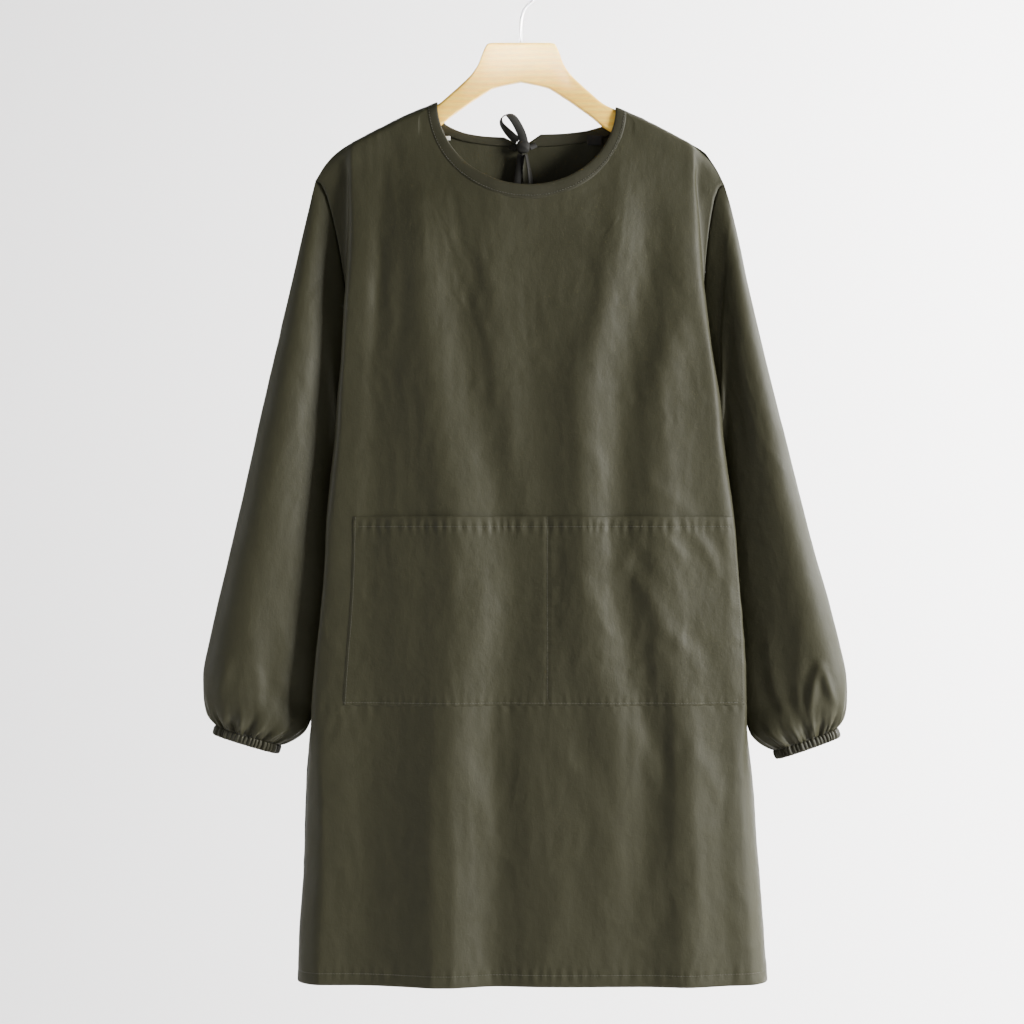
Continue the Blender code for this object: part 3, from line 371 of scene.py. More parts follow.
# Places of the main columns across the front, and turns of its neckline's columns
POCKET_STEPS = 2 * (SHOULDER_COLUMNS + len(NECK_TURNS) - 1)
SHARES = [0.0] + [mix(POCKET_EDGE, 1.0, j / POCKET_STEPS) for j in range(POCKET_STEPS + 1)]
TURNS = [*NECK_TURNS, 0.5, *(1 - turn for turn in reversed(NECK_TURNS))]
ROWS = ARMHOLE_ROWS + 1 + len(LOWER_ROWS)
NECK_START = TUCK_COLUMNS + SHOULDER_COLUMNS        # the column where a neckline begins


def main_edge(side, z, face=FRONT):
    """X where a face meets the rounding of its side fold; the back's folds lie a little inside."""
    inside = 0 if face == FRONT else 2 * ease((z + 900) / 60)
    return BODY.read(SIDE_NAMES[side], z) - side * (BODY.read("corner", z) + inside)


def shoulder_points(side):
    """Points on the shoulder line from the side fold to the binding."""
    start = main_edge(side, SHOULDER_Z)
    end = NECK_X[side] + side * BINDING
    shares = SHARES if side == LEFT else [1 - share for share in reversed(SHARES)]
    tops = []
    for j in range(SHOULDER_COLUMNS + 1):
        x = mix(start, end, shares[j] / shares[SHOULDER_COLUMNS])
        tops.append((x, float(roof(x)), side * NECK_FAN * (j / SHOULDER_COLUMNS) ** 4))
    return tops


def front_neck(turn, outward):
    """Point (x, z) of the front neckline or outward of it, turn 0 at the left shoulder to 1 at the right."""
    left, right = NECK_X[LEFT] - outward, NECK_X[RIGHT] + outward
    middle, half = (left + right) / 2, (right - left) / 2
    angle = pi * turn
    level = mix(float(roof(left)), float(roof(right)), turn)
    return middle - half * cos(angle), level - (NECK_DROP + outward) * sin(angle)


def back_neck(side, turn, outward):
    """Point (x, z) of the back neckline, turn 0 at the shoulder to 1 at the slit."""
    share = outward / BINDING
    start = NECK_X[side] + side * outward
    end = mix(SLIT_X[side], CENTRE_BACK_TOP_X + side * SLIT_PULL, share)
    level = float(roof(start))
    drop = level - mix(SLIT_Z[side], (SLIT_Z[LEFT] + SLIT_Z[RIGHT]) / 2 - SLIT_DROP, share)
    angle = pi / 2 * turn
    return end + (start - end) * cos(angle), level - drop * sin(angle) ** 0.65


def centre_back(z):
    """X of the centre back line."""
    share = np.clip((z - SHOULDER_Z) / (HEM_Z - SHOULDER_Z), 0, 1)
    return mix(CENTRE_BACK_TOP_X, CENTRE_BACK_HEM_X, share)


def column(top_x, top_z, lean, level_x, hurry=False):
    """X and z of one main column, from the top edge to the hem; lean turns its first rows outwards."""
    down = (1 - lean ** 2) ** 0.5
    near = 1 + 0.9 * np.exp(-(roof(top_x) - top_z) / 10) * abs(lean) / NECK_FAN
    first, rolled = ROLL_STEP * near, ROLL * near
    rolled_z = top_z - rolled * down
    below = [mix(rolled_z, UNDERARM_Z, (i - 2) / (ARMHOLE_ROWS - 2)) for i in range(3, ARMHOLE_ROWS + 1)]
    z = np.array([top_z, top_z - first * down, rolled_z, *below, *LOWER_ROWS])
    rows = np.arange(ROWS)
    start_x = top_x + lean * np.array([0, first, *[rolled] * (ROWS - 2)])
    blend = ease(rows / 2) if hurry else ease((rows - 2) / (ARMHOLE_ROWS - 2))
    return mix(start_x, level_x(z), blend), z


def main_columns(face, tops, level_x):
    """Grid of a panel's main columns, from their top points and the lines that they follow."""
    columns = [column(x, z, lean, lambda z: level_x(share, z), hurry=face == BACK and share == 1)
               for x, z, lean, share in tops]
    x, z = np.array(columns).transpose(1, 2, 0)
    return np.stack([x, depth(face, x, z), z], axis=-1)


def tuck(side, face, edge_column):
    """Columns that turn from the side fold to the armhole and the side seam, without the fold's own."""
    columns = np.zeros((ROWS, TUCK_COLUMNS, 3))
    for i in range(ROWS):
        start = edge_column[i]
        z = start[2]
        fold_x = start[0] + side * BODY.read("corner", z)
        if i <= ARMHOLE_ROWS:
            end = armhole(side, -face * pi * i / ARMHOLE_ROWS)
            towards = unit((-side, face * 0.5, 0)) if i < ARMHOLE_ROWS else np.array((-side, 0, 0))
            end = end + towards * SEAM * 1.4
        else:
            end = np.array((BODY.read(SIDE_NAMES[side], z) - side * BODY.read("seam", z), 0.0, z))
        if i == 0 or i >= ARMHOLE_ROWS:
            end[1] = face * SEAM / 2
        nest = ease((i - 0.5) / 3)
        hollow = ease((z - HOLLOW_Z) / TUCK_CHANGE)
        deep = ease((z - DEEP_Z) / TUCK_CHANGE)
        for k in range(1, TUCK_COLUMNS + 1):
            t = k / TUCK_COLUMNS
            corner = mix(TUCK.read("round", t), TUCK.read("corner", t), hollow)
            point = np.array((
                mix(start[0], fold_x, corner) + TUCK.read("home", t) * (end[0] - fold_x),
                mix(start[1], end[1], mix(TUCK.read("back", t), TUCK.read("deep", t), deep)), z))
            point = mix(mix(start, end, t), point, nest)
            sag = roof(point[0]) - mix(roof(start[0]), roof(end[0]), t)
            point[2] = mix(start[2], end[2], t) + sag * (1 - ease(i / 6))
            columns[i, k - 1] = point
    return columns


def front_form():
    """Outer grid of the front, and its normals."""
    tops = shoulder_points(LEFT)
    tops += [(*front_neck(turn, BINDING), -NECK_FAN * cos(pi * turn)) for turn in TURNS[1:-1]]
    tops += shoulder_points(RIGHT)[:0:-1]       # the right fold starts at the shoulder's second point
    main = main_columns(FRONT, [(*top, share) for top, share in zip(tops, SHARES)],
                        lambda share, z: mix(main_edge(LEFT, z), main_edge(RIGHT, z), share))
    left, right = tuck(LEFT, FRONT, main[:, 0]), tuck(RIGHT, FRONT, main[:, -1])
    grid = np.concatenate([left[:, ::-1], main, right], axis=1)
    normals = surface_normals(grid, (0, FRONT, 0))
    neck_end = NECK_START + len(TURNS) - 1
    for j in (NECK_START, neck_end - 1, neck_end):      # these stand square to the shoulder line
        x = grid[0, j, 0]
        normals[0, j] = unit(((roof(x - 2) - roof(x + 2)) / 4, 0, 1))
    return grid, normals


def back_form(side):
    """Outer grid of one back panel, from its side edge to the centre back, and its normals."""
    shoulder_share = 2 * SHARES[SHOULDER_COLUMNS]
    tops = [(*top, shoulder_share * j / SHOULDER_COLUMNS) for j, top in enumerate(shoulder_points(side))]
    last = len(BACK_NECK_TURNS) - 1
    for k in range(1, last + 1):
        turn = BACK_NECK_TURNS[k]
        lean = side * NECK_FAN * cos(pi / 2 * turn)
        tops.append((*back_neck(side, turn, BINDING), lean, mix(shoulder_share, 1, k / last)))

    def level(share, z):
        gap = np.where(z > SLIT_END_Z, SLIT_GAP, SEAM) / 2
        return mix(main_edge(side, z, BACK), centre_back(z) + side * gap, share)

    main = main_columns(BACK, tops, level)
    grid = np.concatenate([tuck(side, BACK, main[:, 0])[:, ::-1], main], axis=1)
    normals = surface_normals(grid, (0, BACK, 0))
    normals[:, -1, 0] = 0
    return grid, unit(normals)


def sleeve_edges(side, place):
    """Outer and inner edge of the sleeve's ring at one place along it, and that place's other values."""
    read = {name: float(SLEEVE.read(name, place)) for name in SLEEVE.names[1:]}
    if side == RIGHT:
        read["outer"] += read["swing"]
        read["inner"] += read["swing_in"]
        read["outer_z"] -= read["sag"] / 2
        read["inner_z"] -= read["sag"]
    outer = np.array((side * read["outer"], 0, read["outer_z"]))
    inner = np.array((side * read["inner"], 0, read["inner_z"]))
    return outer, inner, read


def sleeve_ring(side, place, count):
    """Points of one ring of the sleeve, from its outer edge by the front to its inner edge and back."""
    outer, inner, read = sleeve_edges(side, place)
    ring = np.zeros((count, 3))
    for k in range(count):
        angle = 2 * pi * k / count
        ring[k] = mix(outer, inner, (1 - cos(angle)) / 2)
        ring[k, 0] -= side * bow(angle) * read["bow"]
        face = face_at(angle)
        ring[k, 1] = face * read[FACE_NAMES[face]] * abs(sin(angle)) ** 0.8
    return ring


def sleeve_form(side):
    """The sleeve's coarse rings, with its folds and the waves of its gathers."""
    places = (0.0, *COARSE_RINGS, *FINE_RINGS)
    rings = np.array([sleeve_ring(side, place, GATHER_COLUMNS) for place in places])
    rings[0] = [armhole(side, 2 * pi * k / GATHER_COLUMNS) for k in range(GATHER_COLUMNS)]
    middle = rings.mean(axis=1, keepdims=True)
    normals = surface_normals(rings, rings - middle, closed=True)
    normals[-1] = unit(rings[-1] - middle[-1])
    columns = np.arange(GATHER_COLUMNS)
    degrees = 360 * columns / GATHER_COLUMNS
    wave = np.array((1, 0, -1, 0))[columns % 4]
    for i, place in enumerate(places[1:], start=1):
        relief = SLEEVE.read("gather", place) * wave * (i > len(COARSE_RINGS))
        calm = ease(place / 3) * ease((13 - place) / 4)
        for angle, width, height in SLEEVE_FOLDS:
            apart = (degrees - angle + 180) % 360 - 180
            relief = relief + calm * height * np.exp(-(apart / width) ** 2)
        rings[i] += normals[i] * relief[:, None]
    return rings


front_grid, front_normals = front_form()
print("front grid:", front_grid.shape[:2])

# %% [markdown]
# ## Finer grids
#
# A coarse grid is read again on smooth curves through its points, a small step apart.  The slopes are
# limited, so the curves don't swing past their points where rows or columns crowd together.

# %%
SLOPE_LIMIT = 3.0


def limited_slopes(table, lengths):
    rises = np.diff(table, axis=0) / lengths[:, None, None]
    share = (lengths[1:] / (lengths[1:] + lengths[:-1]))[:, None, None]
    slopes = np.concatenate([rises[:1], rises[:-1] * share + rises[1:] * (1 - share), rises[-1:]])
    limit = np.full(table.shape, np.inf)
    limit[1:] = SLOPE_LIMIT * np.abs(rises)
    limit[:-1] = np.minimum(limit[:-1], SLOPE_LIMIT * np.abs(rises))
    return np.clip(slopes, -limit, limit)


def finer(grid, step, closed=False):
    """The grid with more points along its first axis."""
    table = np.concatenate([grid[-2:], grid, grid[:3]]) if closed else grid
    lengths = np.linalg.norm(np.diff(table, axis=0), axis=-1).mean(axis=1)
    slopes = limited_slopes(table, lengths)
    reach = np.concatenate([[0], np.cumsum(lengths)])
    start, stop = (reach[2], reach[2 + len(grid)]) if closed else (0, reach[-1])
    count = max(int(round((stop - start) / step)), len(grid))
    places = np.linspace(start, stop, count + 1)
    if closed:
        places = places[:-1]
    i = np.clip(np.searchsorted(reach, places, side="right") - 1, 0, len(lengths) - 1)
    width = lengths[i][:, None, None]
    t = (places - reach[i])[:, None, None] / width
    rise = table[i + 1] - table[i]
    first, last = slopes[i] * width, slopes[i + 1] * width
    return table[i] + t * (first + t * (3 * rise - 2 * first - last + t * (first + last - 2 * rise)))


def finer_both(grid, row_step, column_step, closed=False):
    rows = finer(grid, row_step)
    return finer(rows.transpose(1, 0, 2), column_step, closed).transpose(1, 0, 2)


def curve_through(points, steps):
    """A smooth curve through the points, with some steps between each two."""
    table = np.array(points, float)
    padded = np.concatenate([[2 * table[0] - table[1]], table, [2 * table[-1] - table[-2]]])
    curve = []
    for i in range(1, len(padded) - 2):
        before, a, b, after = padded[i - 1:i + 3]
        for t in np.arange(steps) / steps:
            curve.append(0.5 * (2 * a + (b - before) * t + (2 * before - 5 * a + 4 * b - after) * t ** 2
                                + (3 * a - before - 3 * b + after) * t ** 3))
    curve.append(table[-1])
    return np.array(curve)


# %% [markdown]
# ## Ties
#
# Two loose tape ends hang from the knot at the back neck, and one standing loop makes the half bow.
# Their routes are the solids' own points.  A tape keeps its width and turns smoothly about its route.

# %%
ROUTE_STEPS = 8
TAPE_EDGE = ((1, 0.5), (0.94, 1), (-0.94, 1), (-1, 0.5), (-1, -0.5), (-0.94, -1), (0.94, -1), (1, -0.5))


def mesh_object(name, points, faces):
    """A smooth mesh object from points in millimetres, which rides on the part's one body."""
    mesh = bpy.data.meshes.new(name)
    mesh.from_pydata((np.asarray(points, float).reshape(-1, 3) * MM).tolist(), [], faces)
    mesh.polygons.foreach_set("use_smooth", [True] * len(faces))
    mesh.update()
    thing = bpy.data.objects.new(name, mesh)
    bpy.context.scene.collection.objects.link(thing)
    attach(thing, "root")
    return thing


def lofted(name, rings):
    """A closed tube through rings of the same number of points."""
    rings = np.asarray(rings, float)
    count, size = rings.shape[:2]
    number = np.arange(count * size).reshape(count, size)
    faces = [(int(a[k]), int(a[(k + 1) % size]), int(b[(k + 1) % size]), int(b[k]))
             for a, b in zip(number, number[1:]) for k in range(size)]
    faces += [tuple(number[0][::-1].tolist()), tuple(number[-1].tolist())]
    return mesh_object(name, rings, faces)


def swept(route, across, out, section):
    """Rings of the section's points (a, b): a across and b out from each point of a route."""
    return [[point + wide * a + high * b for a, b in section]
            for point, wide, high in zip(route, across, out)]


def tape_rings(name):
    """Route, rings and width of one tape."""
    points, sides, share = TIE_ROUTES[name]
    route = curve_through(points, ROUTE_STEPS)
    widths = unit(curve_through(sides, ROUTE_STEPS))
    along = unit(np.gradient(route, axis=0))
    widths = unit(widths - along * np.sum(widths * along, axis=1, keepdims=True))
    width = TAPE_WIDTH * share
    section = [(a * width / 2, b * TAPE_THICKNESS / 2) for a, b in TAPE_EDGE]
    return route, swept(route, widths, np.cross(along, widths), section), width


def route_length(route):
    return float(np.linalg.norm(np.diff(route, axis=0), axis=1).sum())


ties = {}
for tie_name in TIE_ROUTES:
    tie_route, tie_rings, tie_width = tape_rings(tie_name)
    tie = lofted(tie_name + "_tape", tie_rings)
    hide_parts(tie_name)
    ties[tie_name] = tie
    print(tie_name, "length", round(route_length(tie_route), 1), "mm, width", round(tie_width, 1))
    if not tie_name.startswith("tie_strap"):
        tie_route[0] * MM
        route_length(tie_route) * MM
        tie_width * MM
        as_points(tie_route * MM)

KNOT_LEVELS = np.linspace(-1, 1, 17)
KNOT_SIDES = 32
KNOT_END = 0.25             # its ends' width, as a share of its own
KNOT_BAND, KNOT_FLAT = 0.16, 0.12       # how far the turn round it stands out, how flat its front is
knot_rings = []
for height in KNOT_LEVELS:
    reach = max(1 - abs(height) ** 2.6, 0.0) ** 0.5 * (1 - KNOT_END) + KNOT_END
    ring = []
    for turn in np.linspace(0, 2 * pi, KNOT_SIDES, endpoint=False):
        band = KNOT_BAND * np.exp(-((height + 0.5 * cos(turn)) / 0.22) ** 2)
        band = band - KNOT_FLAT * max(-sin(turn), 0)
        ring.append((KNOT_CENTRE[0] + KNOT_HALF[0] * reach * cos(turn),
                     KNOT_CENTRE[1] + KNOT_HALF[1] * reach * sin(turn) * (1 + band),
                     KNOT_CENTRE[2] + KNOT_HALF[2] * height))
    knot_rings.append(ring)
knot = lofted("knot_of_ties", knot_rings)
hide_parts("tie_knot")
print("ties made:", len(ties), "and a knot")

# %% [markdown]
# ## Wrinkles
#
# Washed cotton creases in three ways.  Fine upright crinkles cover all of it, a few long creases lie
# where the cloth was folded or is pulled, and every row of stitches puckers the cloth beside it.

# %%
LATTICE = 64


def soft_noise(x, z, size_x, size_z, seed):
    """Smooth noise between about -1 and 1, with spots of the given sizes."""
    table = np.random.default_rng(seed).uniform(-1, 1, (LATTICE, LATTICE))
    u, v = x / size_x + seed * 7.3, z / size_z + seed * 3.1
    i, j = np.floor(u).astype(int), np.floor(v).astype(int)
    s, t = ease(u - i), ease(v - j)
    i, j = i % LATTICE, j % LATTICE
    k, m = (i + 1) % LATTICE, (j + 1) % LATTICE
    return mix(mix(table[i, j], table[k, j], s), mix(table[i, m], table[k, m], s), t)


def crinkle(x, z, seed):
    """Upright crinkles, in patches that are stronger and weaker."""
    bent = x + 9 * soft_noise(x, z, 40, 60, seed + 1)
    leaning = z + 14 * soft_noise(x, z, 34, 46, seed + 6)
    sharp = 1 - 2 * np.abs(soft_noise(bent, leaning, 15, 30, seed + 2))
    wide = soft_noise(bent, leaning, 34, 90, seed + 3)
    fine = soft_noise(bent, leaning, 7, 13, seed + 4)
    patch = 0.6 + 0.4 * soft_noise(x, z, 75, 110, seed + 5)
    cloud = soft_noise(bent, leaning, 58, 76, seed + 7)
    return patch * (0.36 * sharp + 0.15 * fine) + 0.38 * wide + 0.9 * cloud


def crease(x, z, start, end, width, height):
    """A ridge with a shallow valley beside it, from start to end, fading at both."""
    start, end = np.array(start, float), np.array(end, float)
    length = np.linalg.norm(end - start)
    along = (end - start) / length
    dx, dz = x - start[0], z - start[1]
    share = np.clip((dx * along[0] + dz * along[1]) / length, 0, 1)
    aside = dx * -along[1] + dz * along[0] - 0.06 * length * np.sin(pi * share)
    ridge = np.exp(-(aside / width) ** 2) - 0.55 * np.exp(-((aside - 1.9 * width) / (1.3 * width)) ** 2)
    return height * np.sin(pi * share) ** 0.7 * ridge


# The front's main creases: start, end, width, height
FRONT_CREASES = (
    ((-200, -472), (215, -468), 6, 0.4),
    ((128, -548), (188, -590), 8, 0.7),
    ((60, -500), (96, -560), 9, 0.6),
    ((-60, -380), (-44, -530), 10, 0.6),
    ((70, -260), (84, -430), 10, 0.6),
    ((150, -330), (140, -470), 9, 0.5),
    ((-150, -250), (-160, -470), 8, 0.5),
    ((30, -820), (90, -930), 12, 1.0),
    ((-70, -830), (-30, -960), 13, 1.0),
    ((110, -800), (150, -900), 11, 0.9),
    ((150, -930), (120, -1040), 12, 0.9),
    ((180, -830), (215, -900), 9, 0.8),
    ((40, -960), (20, -1070), 13, 0.8))
POCKET_CREASES = (
    ((180, -598), (212, -655), 7, 1.3),
    ((150, -604), (176, -640), 6, 0.9),
    ((104, -628), (154, -716), 9, 1.5),
    ((58, -640), (96, -742), 11, 1.2),
    ((150, -700), (196, -762), 8, 0.9),
    ((-70, -620), (-84, -700), 9, 0.7),
    ((-40, -650), (-60, -760), 11, 0.8),
    ((120, -610), (92, -660), 8, 0.8))
BACK_CREASES = (
    ((-150, -300), (-140, -520), 9, 0.9),
    ((-60, -260), (-70, -480), 9, 0.8),
    ((60, -270), (74, -470), 9, 0.8),
    ((150, -320), (160, -540), 9, 0.9),
    ((-120, -620), (-150, -800), 10, 1.2),
    ((100, -600), (130, -790), 10, 1.1),
    ((-40, -700), (-60, -900), 10, 1.2),
    ((60, -760), (40, -960), 10, 1.3),
    ((-180, -860), (-160, -1030), 10, 1.1),
    ((180, -850), (196, -1020), 10, 1.1),
    ((-210, -470), (215, -474), 5, 0.7))


def creases(x, z, table):
    return sum(crease(x, z, *row) for row in table)


def stitched(distance, along, groove, pucker, period, seed):
    """A groove under a row of stitches, with puckers across it."""
    waves = np.sin(2 * pi * along / period + 3 * soft_noise(along, distance, 23, 40, seed))
    strength = 0.7 + 0.5 * soft_noise(along, distance * 0, 37, 50, seed + 1)
    return (-groove * np.exp(-(distance / 1.6) ** 2)
            + pucker * strength * waves * np.exp(-(distance / 7.0) ** 2))


DIVISION_X = 28.0           # the row of stitches that parts the pocket
HEM_STITCH = 12.0           # height of the hem's stitches over the edge
MOUTH_STITCH = 10.5         # and of the pocket mouth's below its edge
EDGE_STITCH = 2.6           # and of the pocket's other edges inside them
FAR = 100.0                 # a distance beyond the reach of any pucker


def front_relief(x, z):
    relief = crinkle(x, z, 10) + creases(x, z, FRONT_CREASES)
    relief = relief + stitched(z - (HEM_Z + HEM_STITCH), x, 0.35, 0.45, 11, 21)
    below_pocket = np.where(z < POCKET_LOW_Z, z - POCKET_LOW_Z, FAR)
    return relief + stitched(below_pocket, x, 0.0, 0.5, 13, 23)


def pocket_relief(x, z):
    relief = crinkle(x, z, 10) + creases(x, z, FRONT_CREASES) + creases(x, z, POCKET_CREASES)
    relief = relief + stitched(z - (POCKET_TOP_Z - MOUTH_STITCH), x, 0.5, 0.55, 10, 31)
    relief = relief + stitched(z - (POCKET_LOW_Z + EDGE_STITCH), x, 0.3, 0.35, 9, 33)
    return relief + stitched(x - DIVISION_X, z, 0.7, 0.25, 10, 35)


def back_relief(x, z):
    relief = crinkle(x, z, 40) + creases(x, z, BACK_CREASES)
    return relief + stitched(z - (HEM_Z + HEM_STITCH), x, 0.35, 0.45, 11, 41)


print("creases:", len(FRONT_CREASES), len(POCKET_CREASES), len(BACK_CREASES))

# %% [markdown]
# ## Panels
#
# The front, the two backs and the pocket are sheets on the solids' outer faces.  Each edge that meets a
# seam is rolled in, and the hem and the pocket's mouth are turned up inside.

# %%
STEP = 2.7
ROLLED = ((0.22, 0.25), (0.28, 0.8), (0.1, 1.7))           # out along the cloth, in through it
DEEP = ((0.22, 0.25), (0.28, 0.8), (0.1, 1.7), (0.0, 4.0), (0.0, 9.0))
TURNED = (
    (0.35, 0.25), (0.5, 0.65), (0.35, 1.05), (-1.5, 1.35), (-5.0, 1.35), (-9.0, 1.35), (-12.5, 1.3))


def with_edge(grid, normals, side, profile):
    """Adds rows or columns past one edge of a grid: top, bottom, first or last."""
    across = side in ("first", "last")
    g = grid.transpose(1, 0, 2) if across else grid
    n = normals.transpose(1, 0, 2) if across else normals
    at_end = side in ("bottom", "last")
    edge, inside, normal = (g[-1], g[-3], n[-1]) if at_end else (g[0], g[2], n[0])
    out = unit(edge - inside)
    extra = [edge + out * a - normal * b for a, b in profile]
    g = np.concatenate([g, extra]) if at_end else np.concatenate([extra[::-1], g])
    same = [normal] * len(extra)
    n = np.concatenate([n, same]) if at_end else np.concatenate([same, n])
    return (g.transpose(1, 0, 2), n.transpose(1, 0, 2)) if across else (g, n)


def sheet_faces(rows, columns, closed=False):
    number = np.arange(rows * columns).reshape(rows, columns)
    right = np.roll(number, -1, axis=1)
    last = None if closed else -1
    a, b = number[:-1, :last], right[:-1, :last]
    c, d = right[1:, :last], number[1:, :last]
    return np.stack([a, b, c, d], axis=-1).reshape(-1, 4).tolist()


def sheet_piece(name, grid, closed=False):
    return mesh_object(name, grid, sheet_faces(*grid.shape[:2], closed))


def cloth_area(grid, closed=False):
    """Area of a grid in square metres."""
    wide = np.concatenate([grid, grid[:, :1]], axis=1) if closed else grid
    a = wide[1:, 1:] - wide[:-1, :-1]
    b = wide[1:, :-1] - wide[:-1, 1:]
    return float(np.linalg.norm(np.cross(a, b), axis=-1).sum() / 2) * MM ** 2


def finished_panel(name, node, coarse, relief, outward, edges, step=STEP):
    """A fine sheet on a coarse grid, with relief along its normals and its edges worked."""
    grid = finer_both(coarse, step, step)
    normals = surface_normals(grid, outward)
    grid = grid + normals * relief(grid[..., 0], grid[..., 2])[..., None]
    normals = surface_normals(grid, outward)
    worked, worked_normals = grid, normals
    for side, profile in edges:
        worked, worked_normals = with_edge(worked, worked_normals, side, profile)
    thing = sheet_piece(name, worked)
    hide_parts(node)
    print(name, "points", worked.shape[:2], "area", round(cloth_area(grid), 3))
    return thing, grid, normals


front_piece, front_fine, front_out = finished_panel(
    "front_cloth", "front_panel", front_grid, front_relief, (0, -1, 0),
    (("first", DEEP), ("last", DEEP), ("bottom", TURNED)))
back_pieces, back_fine, back_out, back_grids, back_top_normals = {}, {}, {}, {}, {}
for back_side in (LEFT, RIGHT):
    back_name = "back_panel_" + SIDE_NAMES[back_side]
    back_grids[back_side], back_top_normals[back_side] = back_form(back_side)
    back_pieces[back_side], back_fine[back_side], back_out[back_side] = finished_panel(
        back_name + "_cloth", back_name, back_grids[back_side], back_relief, (0, 1, 0),
        (("first", ROLLED), ("last", ROLLED), ("bottom", TURNED)), step=2.9)

# %% [markdown]
# ## Pocket
#
# The pocket is made from the front's own points, moved out.  It is stitched down along three sides and
# along one row inside, so it stands off a little at its mouth only.

# %%
STAND_OFF = 1.6             # how far the pocket's mouth stands off, and how much closer its stitched
PRESSED = 1.2               # edges lie, fading over shares of its width and of its height
PRESSED_WIDTH, PRESSED_HEIGHT = 0.12, 0.2
first_row = ARMHOLE_ROWS + 1 + LOWER_ROWS.index(POCKET_TOP_Z)
last_row = ARMHOLE_ROWS + 1 + LOWER_ROWS.index(POCKET_LOW_Z)
pocket_rows = slice(first_row, last_row + 1)
pocket_columns = slice(TUCK_COLUMNS + 1, TUCK_COLUMNS + len(SHARES) + 1)
pocket_base = front_grid[pocket_rows, pocket_columns]
pocket_out = front_normals[pocket_rows, pocket_columns]
down = np.linspace(0, 1, pocket_base.shape[0])[:, None, None]
across = np.linspace(0, 1, pocket_base.shape[1])[None, :, None]
stand_off = STAND_OFF * (1 - down) * np.abs(np.sin(2 * pi * across))
pressed = 1 - ease(np.minimum(across, 1 - across) / PRESSED_WIDTH) * ease((1 - down) / PRESSED_HEIGHT)
pocket_grid = pocket_base + pocket_out * (SEAM + stand_off + WALL - PRESSED * pressed)
POCKET_ROLL = ((0.3, 0.3), (0.4, 0.8), (0.1, 1.4))
MOUTH_TURN = ((0.3, 0.25), (0.45, 0.6), (0.3, 1.0), (-2.0, 1.25), (-6.0, 1.25), (-10.0, 1.2))
pocket_piece, pocket_fine, pocket_normals = finished_panel(
    "pocket_cloth", "front_pocket", pocket_grid, pocket_relief, (0, -1, 0),
    (("first", POCKET_ROLL), ("last", POCKET_ROLL), ("bottom", POCKET_ROLL), ("top", MOUTH_TURN)), step=2.2)

# %% [markdown]
# ## Sleeves and cuffs
#
# A sleeve is a tube of rings.  It is gathered above the cuff, so the last rings carry sharper and less
# even folds than the solid, and their ends run up into the sleeve as soft creases.

# %%
GATHERS = GATHER_COLUMNS // 4
# A sleeve's main creases: start (distance round in mm, Z), end, width, height.  0 is the outer edge,
# the front comes next, then the inner edge half way round, then the back.
SLEEVE_CREASES = (
    ((36, -300), (50, -520), 10, 0.6),
    ((40, -690), (56, -796), 9, 1.0),
    ((80, -700), (72, -800), 8, 0.8),
    ((112, -560), (104, -690), 9, 0.5),
    ((170, -380), (178, -600), 10, 0.8),
    ((200, -720), (206, -800), 8, 1.3),
    ((160, -740), (164, -810), 7, 1.3),
    ((216, -700), (218, -792), 8, 1.2))
# and those of one cuff's balloon alone
BALLOON_CREASES = {
    LEFT: (
        ((58, -744), (64, -800), 5, 0.9),
        ((30, -736), (24, -782), 5, 1.0),
        ((84, -756), (92, -800), 5, 0.9)),
    RIGHT: (
        ((33, -738), (52, -806), 4.5, 2.6),
        ((34, -742), (22, -792), 4.5, 2.0),
        ((60, -762), (56, -812), 5, 1.6),
        ((86, -744), (76, -800), 5, 0.8))}
SLEEVE_ROUND, MEET = 240.0, 40.0    # the creases' distance round a sleeve; they blend into the start
SINK, SINK_LENGTH = 3.0, 24.0       # how far the sleeve starts behind the armhole's edge, and fades over
RIDGE_TURN = {LEFT: 1.2, RIGHT: 1.1}   # where a sleeve's front stands out most: 0 is its outer edge
UNDERARM_FILL = 5.0                 # how much fuller it is at the underarm
FOLDS = 28                          # sharp gathers round a sleeve's end
FOLD_DEPTH = 2.3
FOLD_REACH = (8.0, 30.0)            # how far up they run, least and most
RIDGE, RIDGE_REACH = 0.45, 42.0     # soft waves above them
LEAN_START, LEAN_OVER = 8, 60       # where the lean starts below the armhole, and the length it takes
SEWN_IN = ((0.3, 0.3), (1.5, 0.8), (4.5, 0.9))      # the sleeve's end, which reaches into the cuff


def leaning_front(side, turn):
    """Height of a sleeve's front half: it rises steeply from the outer edge and falls evenly."""
    top = RIDGE_TURN[side]
    turns = np.linspace(0, pi, 181)
    rise = np.sin(pi / 2 * np.clip(turns / top, 0, 1))
    fall = np.clip((1 + np.cos(turns)) / (1 + cos(top)), 0, 1)
    fall = 0.8 * fall + 0.2 * np.sin(pi / 2 * np.clip((pi - turns) / (pi - top), 0, 1))
    height = np.where(turns < top, rise, fall)
    soft = np.exp(-(np.arange(-40, 41) / 16) ** 2)
    around = np.concatenate([-height[40:0:-1], height, -height[-2:-42:-1]])
    return np.interp(turn, turns, np.convolve(around, soft / soft.sum(), "valid"))


def round_noise(turn, size, seed):
    """Smooth noise round a ring, which meets itself."""
    return soft_noise(20 * np.cos(turn), 20 * np.sin(turn), size, size, seed)


def run_down(grid):
    """Distance of every point from the top of its column."""
    return np.cumsum(np.linalg.norm(np.diff(grid, axis=0, prepend=grid[:1]), axis=-1), axis=0)


